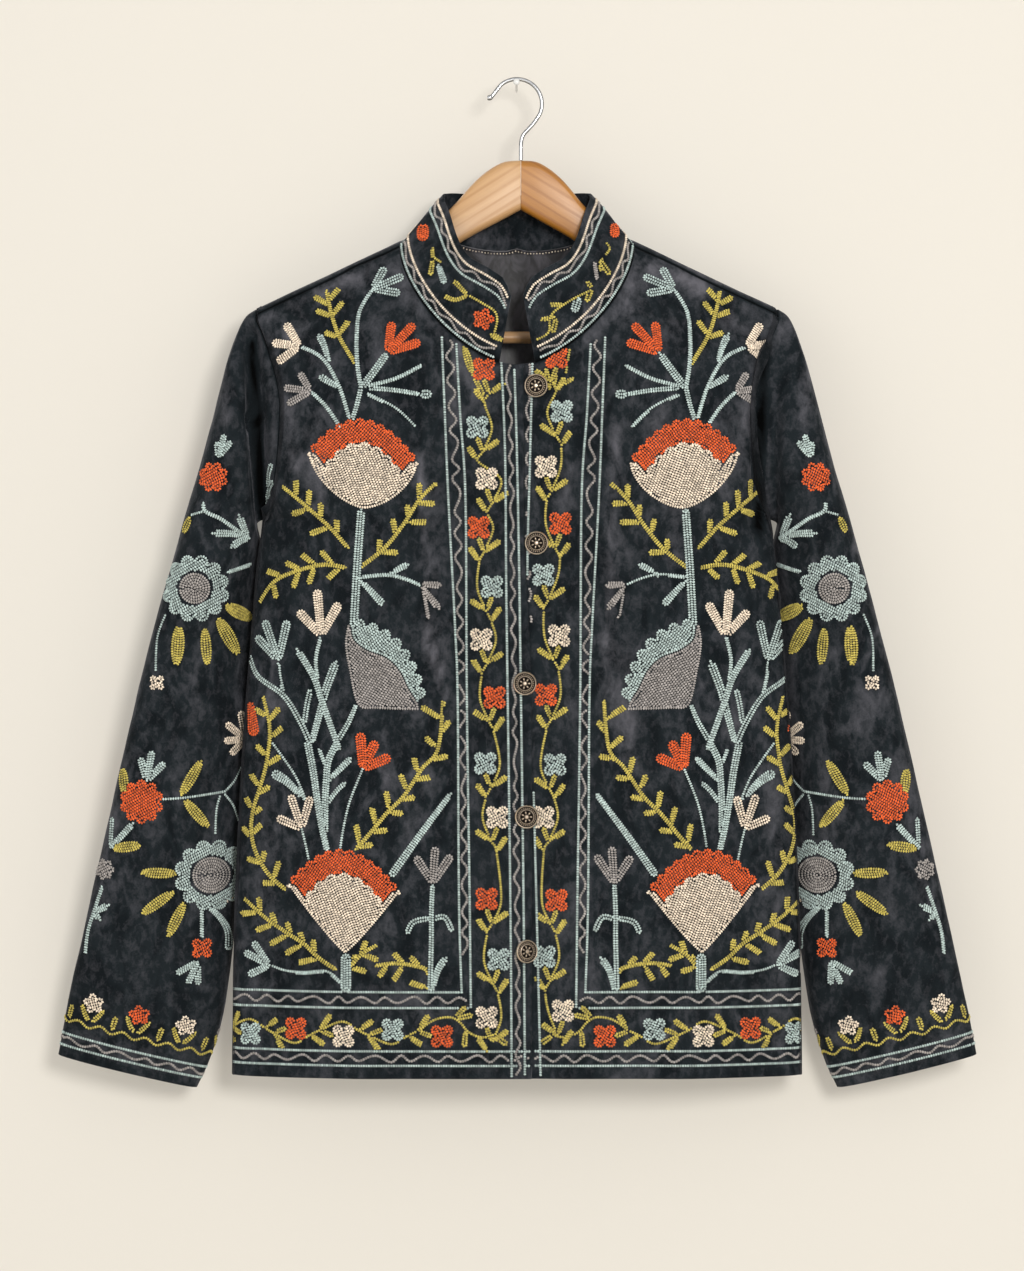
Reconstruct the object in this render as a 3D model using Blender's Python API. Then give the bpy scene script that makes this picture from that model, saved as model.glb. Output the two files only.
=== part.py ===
"""Embroidered velvet jacket on a wooden hanger.

Every cloth piece is a closed wall. The outer surfaces of the fronts, back, sleeves and collar are
joined in one net, so that their normals agree at the seams; each piece is then given its thickness
and drawn back from its seams. Metres, +Z up, +X to the right of someone who faces the jacket, +Y
towards its back. Left and right in names are the wearer's. The origin is the inner top of the hook.
"""
import math
from collections import namedtuple

import bmesh
import bpy
from mathutils import Matrix, Vector

# Cloth
CLOTH = 0.0020              # velvet with its backing
LINING = 0.0010
SEAM_GAP = 0.0003           # between pieces at a seam
SEAM_SHARE = 0.55           # of the seam's gap, taken from each side
LAP_GAP = 0.0004            # between the two fronts where they lap
SIDES = {"right": -1, "left": 1}

# Heights below the hook, and widths from the middle
NECK_HALF_WIDTH = 0.0905    # middle to the neck end of the shoulder seam
NECK_RIDGE_Z = -0.1232      # top of the shoulder beside the neck
SHOULDER_SLOPE = 0.475      # fall of the shoulder for each metre outwards
TIP_HALF_WIDTH = 0.2002     # middle to the sleeve end of the shoulder seam
RIDGE_RADIUS = 0.0125       # the cloth's bend over the hanger
SEAM_DROP = 0.0050          # shoulder seam below the ridge, on the front of it
NECK_DROP = 0.0945          # front neck point below the shoulder seam's neck end
NECK_POWER = 1.6            # roundness of the front neckline
NECK_BACK_Z = -0.1285       # collar seam at the middle of the back
NECK_BACK_POWER = 1.4       # roundness of the back neckline
UNDERARM_Z = -0.3380        # bottom of the armhole
HEM_Z = -0.7635
ARMHOLE_DEPTH = 0.0300      # half the armhole's width, front to back
FALL = 0.1200               # height over which the cloth leaves the hanger's line
ROUNDNESS = 2.6             # 2 is an ellipse, more is squarer

Section = namedtuple("Section", "z half_width front back")
BODY = (
    Section(-0.1850, 0.2002, 0.0495, 0.0330),
    Section(-0.2050, 0.1918, 0.0500, 0.0335),
    Section(-0.2260, 0.1847, 0.0500, 0.0340),
    Section(-0.2450, 0.1808, 0.0500, 0.0340),
    Section(-0.2660, 0.1808, 0.0500, 0.0340),
    Section(-0.2950, 0.1832, 0.0500, 0.0340),
    Section(-0.3160, 0.1868, 0.0500, 0.0340),
    Section(-0.3290, 0.1908, 0.0500, 0.0340),
    Section(UNDERARM_Z, 0.1950, 0.0495, 0.0340),
    Section(-0.3650, 0.1995, 0.0490, 0.0340),
    Section(-0.4000, 0.2027, 0.0480, 0.0335),
    Section(-0.4766, 0.2090, 0.0460, 0.0330),
    Section(-0.5536, 0.2138, 0.0450, 0.0325),
    Section(-0.6537, 0.2180, 0.0440, 0.0325),
    Section(HEM_Z, 0.2195, 0.0430, 0.0330),
)

# Soft folds hang down the panels: place of the top end, lean outwards for each metre down
Fold = namedtuple("Fold", "facing x top bottom half_width depth lean")
FOLDS = (
    Fold(-1, -0.150, -0.300, -0.800, 0.020, -0.0045, 0.10),
    Fold(-1, -0.100, -0.420, -0.850, 0.030, 0.0035, 0.06),
    Fold(-1, -0.060, -0.250, -0.620, 0.022, -0.0030, -0.02),
    Fold(-1, 0.070, -0.280, -0.700, 0.022, -0.0035, 0.05),
    Fold(-1, 0.118, -0.430, -0.850, 0.028, 0.0035, 0.04),
    Fold(-1, 0.158, -0.300, -0.780, 0.020, -0.0045, 0.08),
    Fold(1, -0.130, -0.230, -0.850, 0.024, -0.0050, 0.05),
    Fold(1, -0.055, -0.300, -0.760, 0.026, 0.0035, -0.03),
    Fold(1, 0.030, -0.220, -0.850, 0.024, -0.0045, 0.06),
    Fold(1, 0.115, -0.260, -0.850, 0.026, -0.0050, 0.04),
    Fold(1, 0.160, -0.420, -0.850, 0.018, 0.0030, 0.03),
)
FOLD_FADE = 0.45            # share of a fold's length over which it comes and goes
FOLD_END = 1.25             # share of its length at which it has gone
FOLD_SIDE_POWER = 6         # how late it fades towards the side seam

# Front opening: the right front laps over the left one
Edge = namedtuple("Edge", "z x")
LAP_EDGE = (Edge(-0.2200, 0.0046), Edge(-0.3560, 0.0050), Edge(-0.4200, 0.0085),
            Edge(-0.4700, 0.0106), Edge(-0.5700, 0.0108), Edge(HEM_Z, 0.0108))
UNDERLAP_X = -0.0120        # hidden edge of the left front
LAP_MARGIN = 0.0020         # from the lap's edge to where the left front begins to rise
LAP_RAMP = 0.0280           # over which the left front comes level again
COLLAR_END_X = 0.0140       # collar seam's front end, from the middle

# Collar: top edge from its front end (0) to the middle of the back (1)
Top = namedtuple("Top", "along x y z")
COLLAR_TOP = (
    Top(0.000, 0.0030, -0.0455, -0.1600),
    Top(0.062, 0.0122, -0.0450, -0.1542),
    Top(0.133, 0.0228, -0.0430, -0.1473),
    Top(0.227, 0.0365, -0.0365, -0.1390),
    Top(0.330, 0.0450, -0.0270, -0.1255),
    Top(0.470, 0.0522, -0.0120, -0.1030),
    Top(0.590, 0.0572, 0.0015, -0.0885),
    Top(0.720, 0.0520, 0.0130, -0.0855),
    Top(0.850, 0.0330, 0.0190, -0.0860),
    Top(1.000, 0.0000, 0.0210, -0.0865),
)
COLLAR_ROWS = 6
COLLAR_BULGE = 0.0015
BULGE_START = 0.10          # share of the collar over which the bulge begins
CORNER_LENGTH = 0.070       # share of the collar over which its corner is rounded
CORNER_CUT = 0.150          # share of its height lost at the corner

# Sleeve rings below the armhole: outer and inner edge, half depths in front of and behind them
Ring = namedtuple("Ring", "outer_x outer_z inner_x inner_z inner_y outer_y front back")
SLEEVE = (
    Ring(0.2098, -0.1830, 0.1998, -0.3402, 0.0030, 0.0000, 0.0215, 0.0235),
    Ring(0.2185, -0.2040, 0.2012, -0.3440, 0.0075, -0.0010, 0.0330, 0.0290),
    Ring(0.2268, -0.2320, 0.2000, -0.3497, 0.0135, -0.0020, 0.0385, 0.0290),
    Ring(0.2352, -0.2640, 0.1972, -0.3585, 0.0205, -0.0030, 0.0395, 0.0280),
    Ring(0.2442, -0.2980, 0.1970, -0.3725, 0.0260, -0.0040, 0.0405, 0.0270),
    Ring(0.2555, -0.3360, 0.1977, -0.3915, 0.0295, -0.0050, 0.0410, 0.0260),
    Ring(0.2665, -0.3760, 0.1990, -0.4165, 0.0320, -0.0060, 0.0400, 0.0250),
    Ring(0.2782, -0.4200, 0.2012, -0.4485, 0.0330, -0.0060, 0.0385, 0.0245),
    Ring(0.2902, -0.4660, 0.2043, -0.4870, 0.0325, -0.0060, 0.0370, 0.0240),
    Ring(0.3012, -0.5120, 0.2080, -0.5320, 0.0305, -0.0060, 0.0360, 0.0235),
    Ring(0.3118, -0.5580, 0.2120, -0.5795, 0.0270, -0.0050, 0.0345, 0.0230),
    Ring(0.3220, -0.6040, 0.2160, -0.6270, 0.0225, -0.0040, 0.0320, 0.0220),
    Ring(0.3328, -0.6500, 0.2205, -0.6740, 0.0178, -0.0030, 0.0285, 0.0205),
    Ring(0.3425, -0.6930, 0.2265, -0.7180, 0.0130, -0.0015, 0.0240, 0.0180),
    Ring(0.3492, -0.7270, 0.2370, -0.7530, 0.0095, 0.0000, 0.0195, 0.0155),
    Ring(0.3535, -0.7490, 0.2472, -0.7754, 0.0080, 0.0000, 0.0160, 0.0130),
)
ARMHOLE_RINGS = 4           # rings over which the armhole's own shape fades out
ARMHOLE_BEND = 0.5          # how much of the armhole's bend out of its plane the rings keep

# Sleeve creases run round the sleeve: ring, place round it in degrees from the outer edge
Crease = namedtuple("Crease", "side ring angle rings degrees depth")
CREASES = (
    Crease(-1, 7.5, 120, 0.9, 34, -0.0045), Crease(-1, 9.0, 150, 0.8, 30, 0.0030),
    Crease(-1, 10.2, 62, 1.0, 28, -0.0035), Crease(-1, 4.2, 70, 1.0, 30, -0.0030),
    Crease(-1, 8.0, 250, 1.0, 40, -0.0040),
    Crease(1, 7.0, 112, 1.0, 36, -0.0045), Crease(1, 8.8, 148, 0.8, 30, 0.0030),
    Crease(1, 10.8, 70, 1.0, 28, -0.0035), Crease(1, 3.8, 66, 1.0, 30, -0.0030),
    Crease(1, 9.2, 240, 1.0, 40, -0.0040),
)

# Rows and columns of the nets, as shares of their length
UPPER_ROWS = (0.0, 0.05, 0.13, 0.23, 0.35, 0.48, 0.61, 0.73, 0.84, 0.93, 1.0)
RIDGE_STEPS = (0.0, 0.0045, 0.0095, 0.0160)
LOWER_ROWS = 12
SHOULDER_COLUMNS = (0.53, 0.61, 0.69, 0.77, 0.84, 0.90, 0.95, 0.98, 1.0)
NECK_COLUMNS = 6
BACK_NECK_X = (0.0, 0.0250, 0.0480, 0.0680, 0.0830)
PATH_SAMPLES = 160

# Buttons: place, whether it has gone through its buttonhole, turn to one side in degrees
Button = namedtuple("Button", "x z through turn")
BUTTONS = (
    Button(0.0143, -0.2376, False, 0), Button(0.0147, -0.3568, False, 0),
    Button(0.0059, -0.4634, True, 0), Button(0.0073, -0.5646, True, 0),
    Button(0.0066, -0.6665, True, 28),
)
BUTTON_RADIUS = 0.0090
BUTTON_PROFILE = (          # radius and height over the button's back, as shares of the radius
    (0.00, 0.00), (0.72, 0.00), (0.96, 0.10), (1.00, 0.19), (0.96, 0.28), (0.86, 0.31),
    (0.80, 0.24), (0.45, 0.33), (0.00, 0.38),
)
BUTTON_SIDES = 18
SHANK_RADIUS = 0.0015
FOOT_GAP = 0.0005           # from the shank's foot to the sloping cloth
BUTTON_STANDOFF = 0.0008
TURNED_STANDOFF = 0.0042
SLOT_LENGTH = 0.0100        # buttonhole
SLOT_HEIGHT = 0.0042
SLOT_DEPTH = 0.0200         # of the body that cuts it
SLOT_SHIFT = 0.0012         # towards the front's edge

# Upper back lining, as far as the neck opening shows it
LINING_HALF_WIDTH = 0.0620
LINING_ROWS = 9

# Hanger
HANGER_X = 0.0030
HANGER_HALF_THICKNESS = 0.0055
REST_GAP = 0.0008           # under the cloth that lies on it
Arm = namedtuple("Arm", "x top bottom")
ARM_NECK = (Arm(0.000, -0.0612, -0.0993), Arm(0.012, -0.0622, -0.1060), Arm(0.022, -0.0672, -0.1115),
            Arm(0.032, -0.0752, -0.1168), Arm(0.040, -0.0838, -0.1215), Arm(0.048, -0.0935, -0.1265),
            Arm(0.055, -0.1008, -0.1312), Arm(0.069, -0.1170, -0.1400), Arm(0.081, -0.1246, -0.1465))
ARM_STATIONS = (0.0905, 0.110, 0.130, 0.150, 0.168, 0.180, 0.187)
ARM_HEIGHT = (0.0270, 0.0265, 0.0270, 0.0290, 0.0325, 0.0330, 0.0230)
ARM_END_DROP = 0.0050       # of the rounded end
ARM_EDGE_POINTS = 4
MITRE_GAP = 0.0003
BAR_Z = -0.1975
BAR_RADIUS = 0.0046
BAR_HALF_LENGTH = 0.1760
BAR_SIDES = 16

# Hook
HOOK_WIRE = 0.0030
HOOK_RADIUS = 0.0192        # of the crook, to the middle of the wire
HOOK_TIP = ((-0.0228, -0.0131), (-0.0207, -0.0128), (-0.0186, -0.0110), (-0.0157, -0.0072))
HOOK_START = 131            # degrees, where the crook's round part begins
HOOK_END = -25              # degrees, where the crook turns back to the stem
HOOK_ARC_POINTS = 18
HOOK_NECK = ((0.0134, -0.0318), (0.0088, -0.0370), (0.0050, -0.0413), (0.0034, -0.0455))
HOOK_STEM_Z = -0.0500       # where the wire stands straight over the wood
HOOK_BALL = 0.45            # more than the wire's own radius, as a share


def clamp(value):
    return min(1.0, max(0.0, value))


def smooth(value):
    value = clamp(value)
    return value * value * (3 - 2 * value)


def read(rows, place, column):
    """Value of a column at a place in the first column, on a smooth curve through the rows."""
    keys = [row[0] for row in rows]
    values = [getattr(row, column) for row in rows]
    if keys[0] > keys[-1]:
        keys.reverse()
        values.reverse()
    place = min(keys[-1], max(keys[0], place))
    i = 0
    while i < len(keys) - 2 and place > keys[i + 1]:
        i += 1

    def slope(k):
        a, b = max(0, k - 1), min(len(keys) - 1, k + 1)
        return (values[b] - values[a]) / (keys[b] - keys[a])

    span = keys[i + 1] - keys[i]
    t = (place - keys[i]) / span
    return ((1 + 2 * t) * (1 - t) ** 2 * values[i] + t * (1 - t) ** 2 * span * slope(i)
            + t * t * (3 - 2 * t) * values[i + 1] + t * t * (t - 1) * span * slope(i + 1))


def ridge_z(x):
    """Height of the shoulder's top, whose line goes on over the neck."""
    return NECK_RIDGE_Z - SHOULDER_SLOPE * (abs(x) - NECK_HALF_WIDTH)


def neck_z(x):
    """Height of the front neckline."""
    share = min(1.0, abs(x) / NECK_HALF_WIDTH)
    drop = NECK_DROP * (1 - share ** NECK_POWER) ** (1 / NECK_POWER)
    return NECK_RIDGE_Z - SEAM_DROP - drop


def armhole_depth(z):
    """How far the armhole's edge stands in front of, or behind, the side."""
    top = ridge_z(TIP_HALF_WIDTH)
    middle, half = (top + UNDERARM_Z) / 2, (top - UNDERARM_Z) / 2
    return ARMHOLE_DEPTH * math.sqrt(max(0.0, 1 - ((z - middle) / half) ** 2))


def fold(facing, x, z, across):
    """How far the soft folds stand out; they fade at the side seam and at both ends."""
    out = 0.0
    for row in FOLDS:
        if row.facing != facing:
            continue
        centre = row.x + math.copysign(row.lean, row.x) * (row.top - z)
        length = row.top - row.bottom
        run = (row.top - z) / length
        window = smooth(run / FOLD_FADE) * smooth((FOLD_END - run) / FOLD_FADE)
        out += row.depth * window * math.exp(-((x - centre) / row.half_width) ** 2)
    return out * (1 - across ** FOLD_SIDE_POWER)


def body_point(facing, side, across, z):
    """Point of the body's outer surface: facing -1 front or 1 back, across 0 middle to 1 side."""
    x = side * across * read(BODY, z, "half_width")
    edge = armhole_depth(z)
    depth = read(BODY, z, "front" if facing < 0 else "back")
    depth = edge + (depth - edge) * (1 - clamp(abs(across)) ** ROUNDNESS) ** (1 / ROUNDNESS)
    drop = ridge_z(x) - z
    if drop < SEAM_DROP:
        y = math.sqrt(max(0.0, RIDGE_RADIUS ** 2 - (RIDGE_RADIUS - drop) ** 2))
    else:
        seam = math.sqrt(RIDGE_RADIUS ** 2 - (RIDGE_RADIUS - SEAM_DROP) ** 2)
        fallen = 1 - (1 - clamp((drop - SEAM_DROP) / FALL)) ** 2
        y = seam + (depth - seam) * fallen
    return Vector((x, facing * (y + fold(facing, x, z, abs(across))), z))


def lap_edge(z):
    return read(LAP_EDGE, z, "x")


def front_point(side, across, z):
    """Point of a front; the left one lies lower where the right one laps over it."""
    point = body_point(-1, side, across, z)
    if side > 0:
        under = 1 - smooth((point.x - lap_edge(z) - LAP_MARGIN) / LAP_RAMP)
        point.y += (CLOTH + LAP_GAP) * under
    return point


def across_at(x, z):
    return x / read(BODY, z, "half_width")


def shoulder_z(across):
    """Height of the shoulder seam in a column."""
    z = ridge_z(TIP_HALF_WIDTH)
    for _ in range(12):
        z = ridge_z(across * read(BODY, z, "half_width")) - SEAM_DROP
    return z


def shoulder_columns():
    """Shares across and heights of the shoulder seam's points, from the neck to the tip."""
    neck = NECK_HALF_WIDTH / TIP_HALF_WIDTH
    return [(share, shoulder_z(share)) for share in (neck,) + SHOULDER_COLUMNS]


def lower_rows():
    return [UNDERARM_Z + (HEM_Z - UNDERARM_Z) * k / LOWER_ROWS for k in range(1, LOWER_ROWS + 1)]


def front_net(side):
    """Columns of points from the opening to the side, each from the top to the hem."""
    tops = []
    angle_end = math.acos((COLLAR_END_X / NECK_HALF_WIDTH) ** (NECK_POWER / 2))
    for k in range(NECK_COLUMNS):
        angle = angle_end * (1 - k / NECK_COLUMNS)
        x = NECK_HALF_WIDTH * math.cos(angle) ** (2 / NECK_POWER)
        tops.append((across_at(x, neck_z(x)), neck_z(x)))
    tops += shoulder_columns()
    first = tops[0][0]
    columns = []
    for step in (2, 1):
        column = []
        for share in UPPER_ROWS:
            top = neck_z(COLLAR_END_X * (1 - step / 2))
            column.append(top + (UNDERARM_Z - top) * share)
        points = []
        for z in column + lower_rows():
            edge = -lap_edge(z) if side < 0 else UNDERLAP_X
            edge = across_at(edge, z)
            points.append(front_point(side, first + (edge - first) * step / 2, z))
        columns.append(points)
    for across, top in tops:
        heights = [top + (UNDERARM_Z - top) * share for share in UPPER_ROWS] + lower_rows()
        columns.append([front_point(side, across, z) for z in heights])
    return columns


class BackPath:
    """A back column's line, from the shoulder seam's front over the ridge to the underarm."""

    def __init__(self, side, across, seam_z):
        top = ridge_z(across * TIP_HALF_WIDTH)
        self.points = []
        for k in range(PATH_SAMPLES + 1):
            turn = k / PATH_SAMPLES * 2 - 1
            if turn < 0:
                self.points.append(body_point(-1, side, across, top + (seam_z - top) * turn * turn))
        span = math.sqrt(top - UNDERARM_Z)
        for k in range(PATH_SAMPLES + 1):
            z = top - (span * k / PATH_SAMPLES) ** 2
            self.points.append(body_point(1, side, across, z))
        self.lengths = [0.0]
        for a, b in zip(self.points, self.points[1:]):
            self.lengths.append(self.lengths[-1] + (b - a).length)

    def at(self, length):
        for k in range(1, len(self.points)):
            if self.lengths[k] >= length:
                break
        share = (length - self.lengths[k - 1]) / (self.lengths[k] - self.lengths[k - 1])
        return self.points[k - 1].lerp(self.points[k], clamp(share))

    def length_to(self, z):
        """Length of the line to where its back part has come down to a height."""
        for k in range(len(self.points) - 1, 0, -1):
            if self.points[k].z >= z:
                return self.lengths[k]
        return 0.0


def back_path(side, across, seam_z):
    """The line of a back column and the length at which the collar or shoulder seam cuts it."""
    path = BackPath(side, across, seam_z)
    x = abs(across) * TIP_HALF_WIDTH
    if x >= NECK_HALF_WIDTH - 1e-6:
        return path, 0.0
    middle = BackPath(1, 0.0, ridge_z(0) - SEAM_DROP).length_to(NECK_BACK_Z)
    return path, middle * (1 - (x / NECK_HALF_WIDTH) ** NECK_BACK_POWER)


def back_columns():
    """Side, share across and seam height of each back column, from the wearer's right."""
    half = [(x / TIP_HALF_WIDTH, ridge_z(x) - SEAM_DROP) for x in BACK_NECK_X] + shoulder_columns()
    right = [(-1, across, z) for across, z in reversed(half[1:])]
    return right + [(1, across, z) for across, z in half]


def back_net():
    columns = []
    for side, across, seam_z in back_columns():
        path, start = back_path(side, across, seam_z)
        last = path.lengths[-1]
        first = start + 2 * RIDGE_RADIUS * math.acos(1 - SEAM_DROP / RIDGE_RADIUS)
        lengths = [start + step for step in RIDGE_STEPS]
        lengths += [first + (last - first) * share for share in UPPER_ROWS]
        points = [path.at(length) for length in lengths]
        points += [body_point(1, side, across, z) for z in lower_rows()]
        columns.append(points)
    return columns


def join_seams(fronts, back):
    """Gives the back the fronts' own points along the shoulder and side seams."""
    upper = len(UPPER_ROWS) - 1
    back_upper = len(RIDGE_STEPS) + upper
    shoulder = len(SHOULDER_COLUMNS) + 1
    for side, front in fronts.items():
        for k in range(1, shoulder + 1):
            column = back[k - 1] if side < 0 else back[-k]
            column[0] = front[-k][0].copy()
        outer = back[0] if side < 0 else back[-1]
        for k in range(LOWER_ROWS + 1):
            outer[back_upper + k] = front[-1][upper + k].copy()


def neckline(fronts, back):
    """Points of the collar seam, from the right front end round the back to the left."""
    shoulder = len(SHOULDER_COLUMNS)
    right = [column[0] for column in fronts[-1][2:-shoulder]]
    left = [column[0] for column in fronts[1][2:-shoulder]]
    behind = [column[0] for column in back[shoulder + 1:-shoulder - 1]]
    return right + behind + left[::-1]


def collar_net(base):
    """Columns from the seam to the top edge."""
    lengths = [0.0]
    for a, b in zip(base, base[1:]):
        lengths.append(lengths[-1] + (b - a).length)
    columns = []
    for point, length in zip(base, lengths):
        place = length / lengths[-1] * 2
        side = -1 if place < 1 else 1
        along = place if place < 1 else 2 - place
        top = Vector((side * read(COLLAR_TOP, along, "x"), read(COLLAR_TOP, along, "y"),
                      read(COLLAR_TOP, along, "z")))
        height = 1 - CORNER_CUT * (1 - clamp(along / CORNER_LENGTH)) ** 2
        out = Vector((point.x, point.y, 0)).normalized()
        column = []
        for k in range(COLLAR_ROWS + 1):
            share = height * k / COLLAR_ROWS
            bulge = COLLAR_BULGE * math.sin(math.pi * share) * smooth(along / BULGE_START)
            column.append(point.lerp(top, share) + out * bulge)
        columns.append(column)
    return columns


def armhole(side, front, back):
    """Points round the armhole: down the front from the tip, then up the back."""
    upper = len(UPPER_ROWS) - 1
    outer = back[0] if side < 0 else back[-1]
    down = front[-1][:upper + 1]
    up = outer[1:len(RIDGE_STEPS) + upper]
    return down + up[::-1]


def crease(side, ring, degrees):
    out = 0.0
    for row in CREASES:
        if row.side == side:
            turn = (degrees - row.angle + 180) % 360 - 180
            out += row.depth * math.exp(-((ring - row.ring) / row.rings) ** 2 - (turn / row.degrees) ** 2)
    return out


def sleeve_net(side, hole):
    """Rings from the armhole to the cuff, in the armhole's own order of points."""
    top = max(hole, key=lambda p: p.z)
    low = min(hole, key=lambda p: p.z)
    centre = (top + low) / 2
    along = (top - low).normalized()
    half = (top - low).length / 2
    outward = Vector((side, 0, 0))
    outward = (outward - along * outward.dot(along)).normalized()
    local = []
    for k, point in enumerate(hole):
        offset = point - centre
        height = max(-1.0, min(1.0, offset.dot(along) / half))
        angle = math.acos(height) * (1 if point.y < 0 else -1)
        local.append((height, -offset.y, offset.dot(outward), angle))
    rings = [[point.copy() for point in hole]]
    for number, row in enumerate(SLEEVE, 1):
        outer = Vector((side * row.outer_x, row.outer_y, row.outer_z))
        inner = Vector((side * row.inner_x, row.inner_y, row.inner_z))
        centre = (outer + inner) / 2
        width = (outer - inner).length / 2
        u = (outer - inner).normalized()
        v = Vector((0, -1, 0))
        fade = smooth(number / ARMHOLE_RINGS)
        ring = []
        for height, forward, out, angle in local:
            depth = row.front if math.sin(angle) > 0 else row.back
            p = height + (math.cos(angle) - height) * fade
            q = forward / ARMHOLE_DEPTH
            q = q + (math.sin(angle) - q) * fade
            point = centre + u * p * width + v * q * depth
            away = (u * math.cos(angle) + v * math.sin(angle)).normalized()
            point += away * crease(side, number, math.degrees(angle) % 360)
            ring.append(point + outward * out * (1 - fade) * ARMHOLE_BEND)
        rings.append(ring)
    return rings


class Net:
    """Outer surface of all joined pieces: shared points, and faces that know their piece."""

    def __init__(self):
        self.mesh = bmesh.new()
        self.found = {}
        self.piece = {}
        self.row = {}

    def vertex(self, point):
        key = tuple(round(value * 1e6) for value in point)
        if key not in self.found:
            self.found[key] = self.mesh.verts.new(point)
        return self.found[key]

    @staticmethod
    def halves(corners):
        """Two triangles on the shorter diagonal, so that outer and inner faces bend alike."""
        if len(corners) == 3:
            return [corners]
        a, b, c, d = corners
        if (a.co - c.co).length < (b.co - d.co).length:
            return [(a, b, c), (a, c, d)]
        return [(a, b, d), (b, c, d)]

    def add(self, name, columns, ring=False):
        pairs = list(zip(columns, columns[1:]))
        for left, right in pairs:
            count = len(left)
            for k in range(count if ring else count - 1):
                m = (k + 1) % count
                corners = []
                for point in (left[k], left[m], right[m], right[k]):
                    vertex = self.vertex(point)
                    if vertex not in corners:
                        corners.append(vertex)
                for triangle in self.halves(corners):
                    face = self.mesh.faces.new(triangle)
                    self.piece[face] = name
                    self.row[face] = k

    def finish(self):
        bmesh.ops.recalc_face_normals(self.mesh, faces=self.mesh.faces[:])
        chest = min(self.mesh.faces, key=lambda f: f.calc_center_median().y)
        if chest.normal.y > 0:
            bmesh.ops.reverse_faces(self.mesh, faces=self.mesh.faces[:])
        self.mesh.normal_update()
        self.mesh.verts.index_update()


def drawn_back(vertex, faces):
    """How far a seam point of one piece moves into the piece, to leave half the seam's gap."""
    pulls = []
    for edge in vertex.link_edges:
        own = [face for face in edge.link_faces if face in faces]
        if len(own) == 1 and len(edge.link_faces) == 2:
            a, b = edge.verts
            line = (b.co - a.co).normalized()
            pull = own[0].calc_center_median() - (a.co + b.co) / 2
            pulls.append((pull - line * pull.dot(line)).normalized())
    if not pulls:
        return Vector()
    total = sum(pulls, Vector())
    if len(pulls) > 1:
        total /= 1 + max(-0.5, pulls[0].dot(pulls[1]))
    return total * SEAM_GAP * SEAM_SHARE


def wall(net, faces, start, thickness):
    """Closed wall on some of the net's faces, from a depth inside them inwards."""
    solid = bmesh.new()
    outer, inner = {}, {}
    for face in net.mesh.faces:
        if face not in faces:
            continue
        for vertex in face.verts:
            if vertex not in outer:
                place = vertex.co + drawn_back(vertex, faces)
                outer[vertex] = solid.verts.new(place - vertex.normal * start)
                inner[vertex] = solid.verts.new(place - vertex.normal * (start + thickness))
        solid.faces.new([outer[vertex] for vertex in face.verts])
        solid.faces.new([inner[vertex] for vertex in reversed(face.verts)])
        for loop in face.loops:
            if sum(other in faces for other in loop.edge.link_faces) == 1:
                a, b = loop.vert, loop.link_loop_next.vert
                if a.index < b.index:
                    solid.faces.new((outer[b], outer[a], inner[b]))
                    solid.faces.new((outer[a], inner[a], inner[b]))
                else:
                    solid.faces.new((outer[b], outer[a], inner[a]))
                    solid.faces.new((outer[b], inner[a], inner[b]))
    return solid


def face_outwards(solid):
    bmesh.ops.recalc_face_normals(solid, faces=solid.faces[:])
    if solid.calc_volume(signed=True) < 0:
        bmesh.ops.reverse_faces(solid, faces=solid.faces[:])


def make_material(name, colour, roughness, metallic=0.0):
    material = bpy.data.materials.new(name)
    material.use_nodes = True
    shader = material.node_tree.nodes["Principled BSDF"]
    shader.inputs["Base Color"].default_value = (*colour, 1)
    shader.inputs["Roughness"].default_value = roughness
    shader.inputs["Metallic"].default_value = metallic
    material.diffuse_color = (*colour, 1)
    return material


def make_object(name, solid, material):
    mesh = bpy.data.meshes.new(name)
    solid.to_mesh(mesh)
    solid.free()
    mesh.shade_smooth()
    mesh.set_sharp_from_angle(angle=math.radians(40))
    mesh.materials.append(material)
    made = bpy.data.objects.new(name, mesh)
    bpy.context.scene.collection.objects.link(made)
    return made


def cut(target, cutter, name):
    """Boolean difference with a cutter that the build leaves out."""
    cutter.hide_render = True
    cutter.display_type = "WIRE"
    modifier = target.modifiers.new(name, "BOOLEAN")
    modifier.operation = "DIFFERENCE"
    modifier.object = cutter


def make_lining(net, material):
    """Lining behind the neck opening, on the inside of the back's own faces."""
    shown = set()
    for face, row in net.row.items():
        place = face.calc_center_median()
        if net.piece[face] == "back_panel" and 0 < row <= LINING_ROWS and abs(place.x) < LINING_HALF_WIDTH:
            shown.add(face)
    make_object("back_lining", wall(net, shown, CLOTH + SEAM_GAP, LINING), material)


def turned_solid(profile, sides):
    """Closed solid of a profile turned about Z; its first and last points lie on the axis."""
    solid = bmesh.new()
    rings = []
    for radius, height in profile:
        if radius == 0:
            rings.append([solid.verts.new((0, 0, height))])
        else:
            rings.append([solid.verts.new((radius * math.cos(2 * math.pi * k / sides),
                                           radius * math.sin(2 * math.pi * k / sides), height))
                          for k in range(sides)])
    for low, high in zip(rings, rings[1:]):
        for k in range(sides):
            m = (k + 1) % sides
            corners = []
            for vertex in (low[k % len(low)], low[m % len(low)], high[m % len(high)], high[k % len(high)]):
                if vertex not in corners:
                    corners.append(vertex)
            solid.faces.new(corners)
    face_outwards(solid)
    return solid


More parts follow.
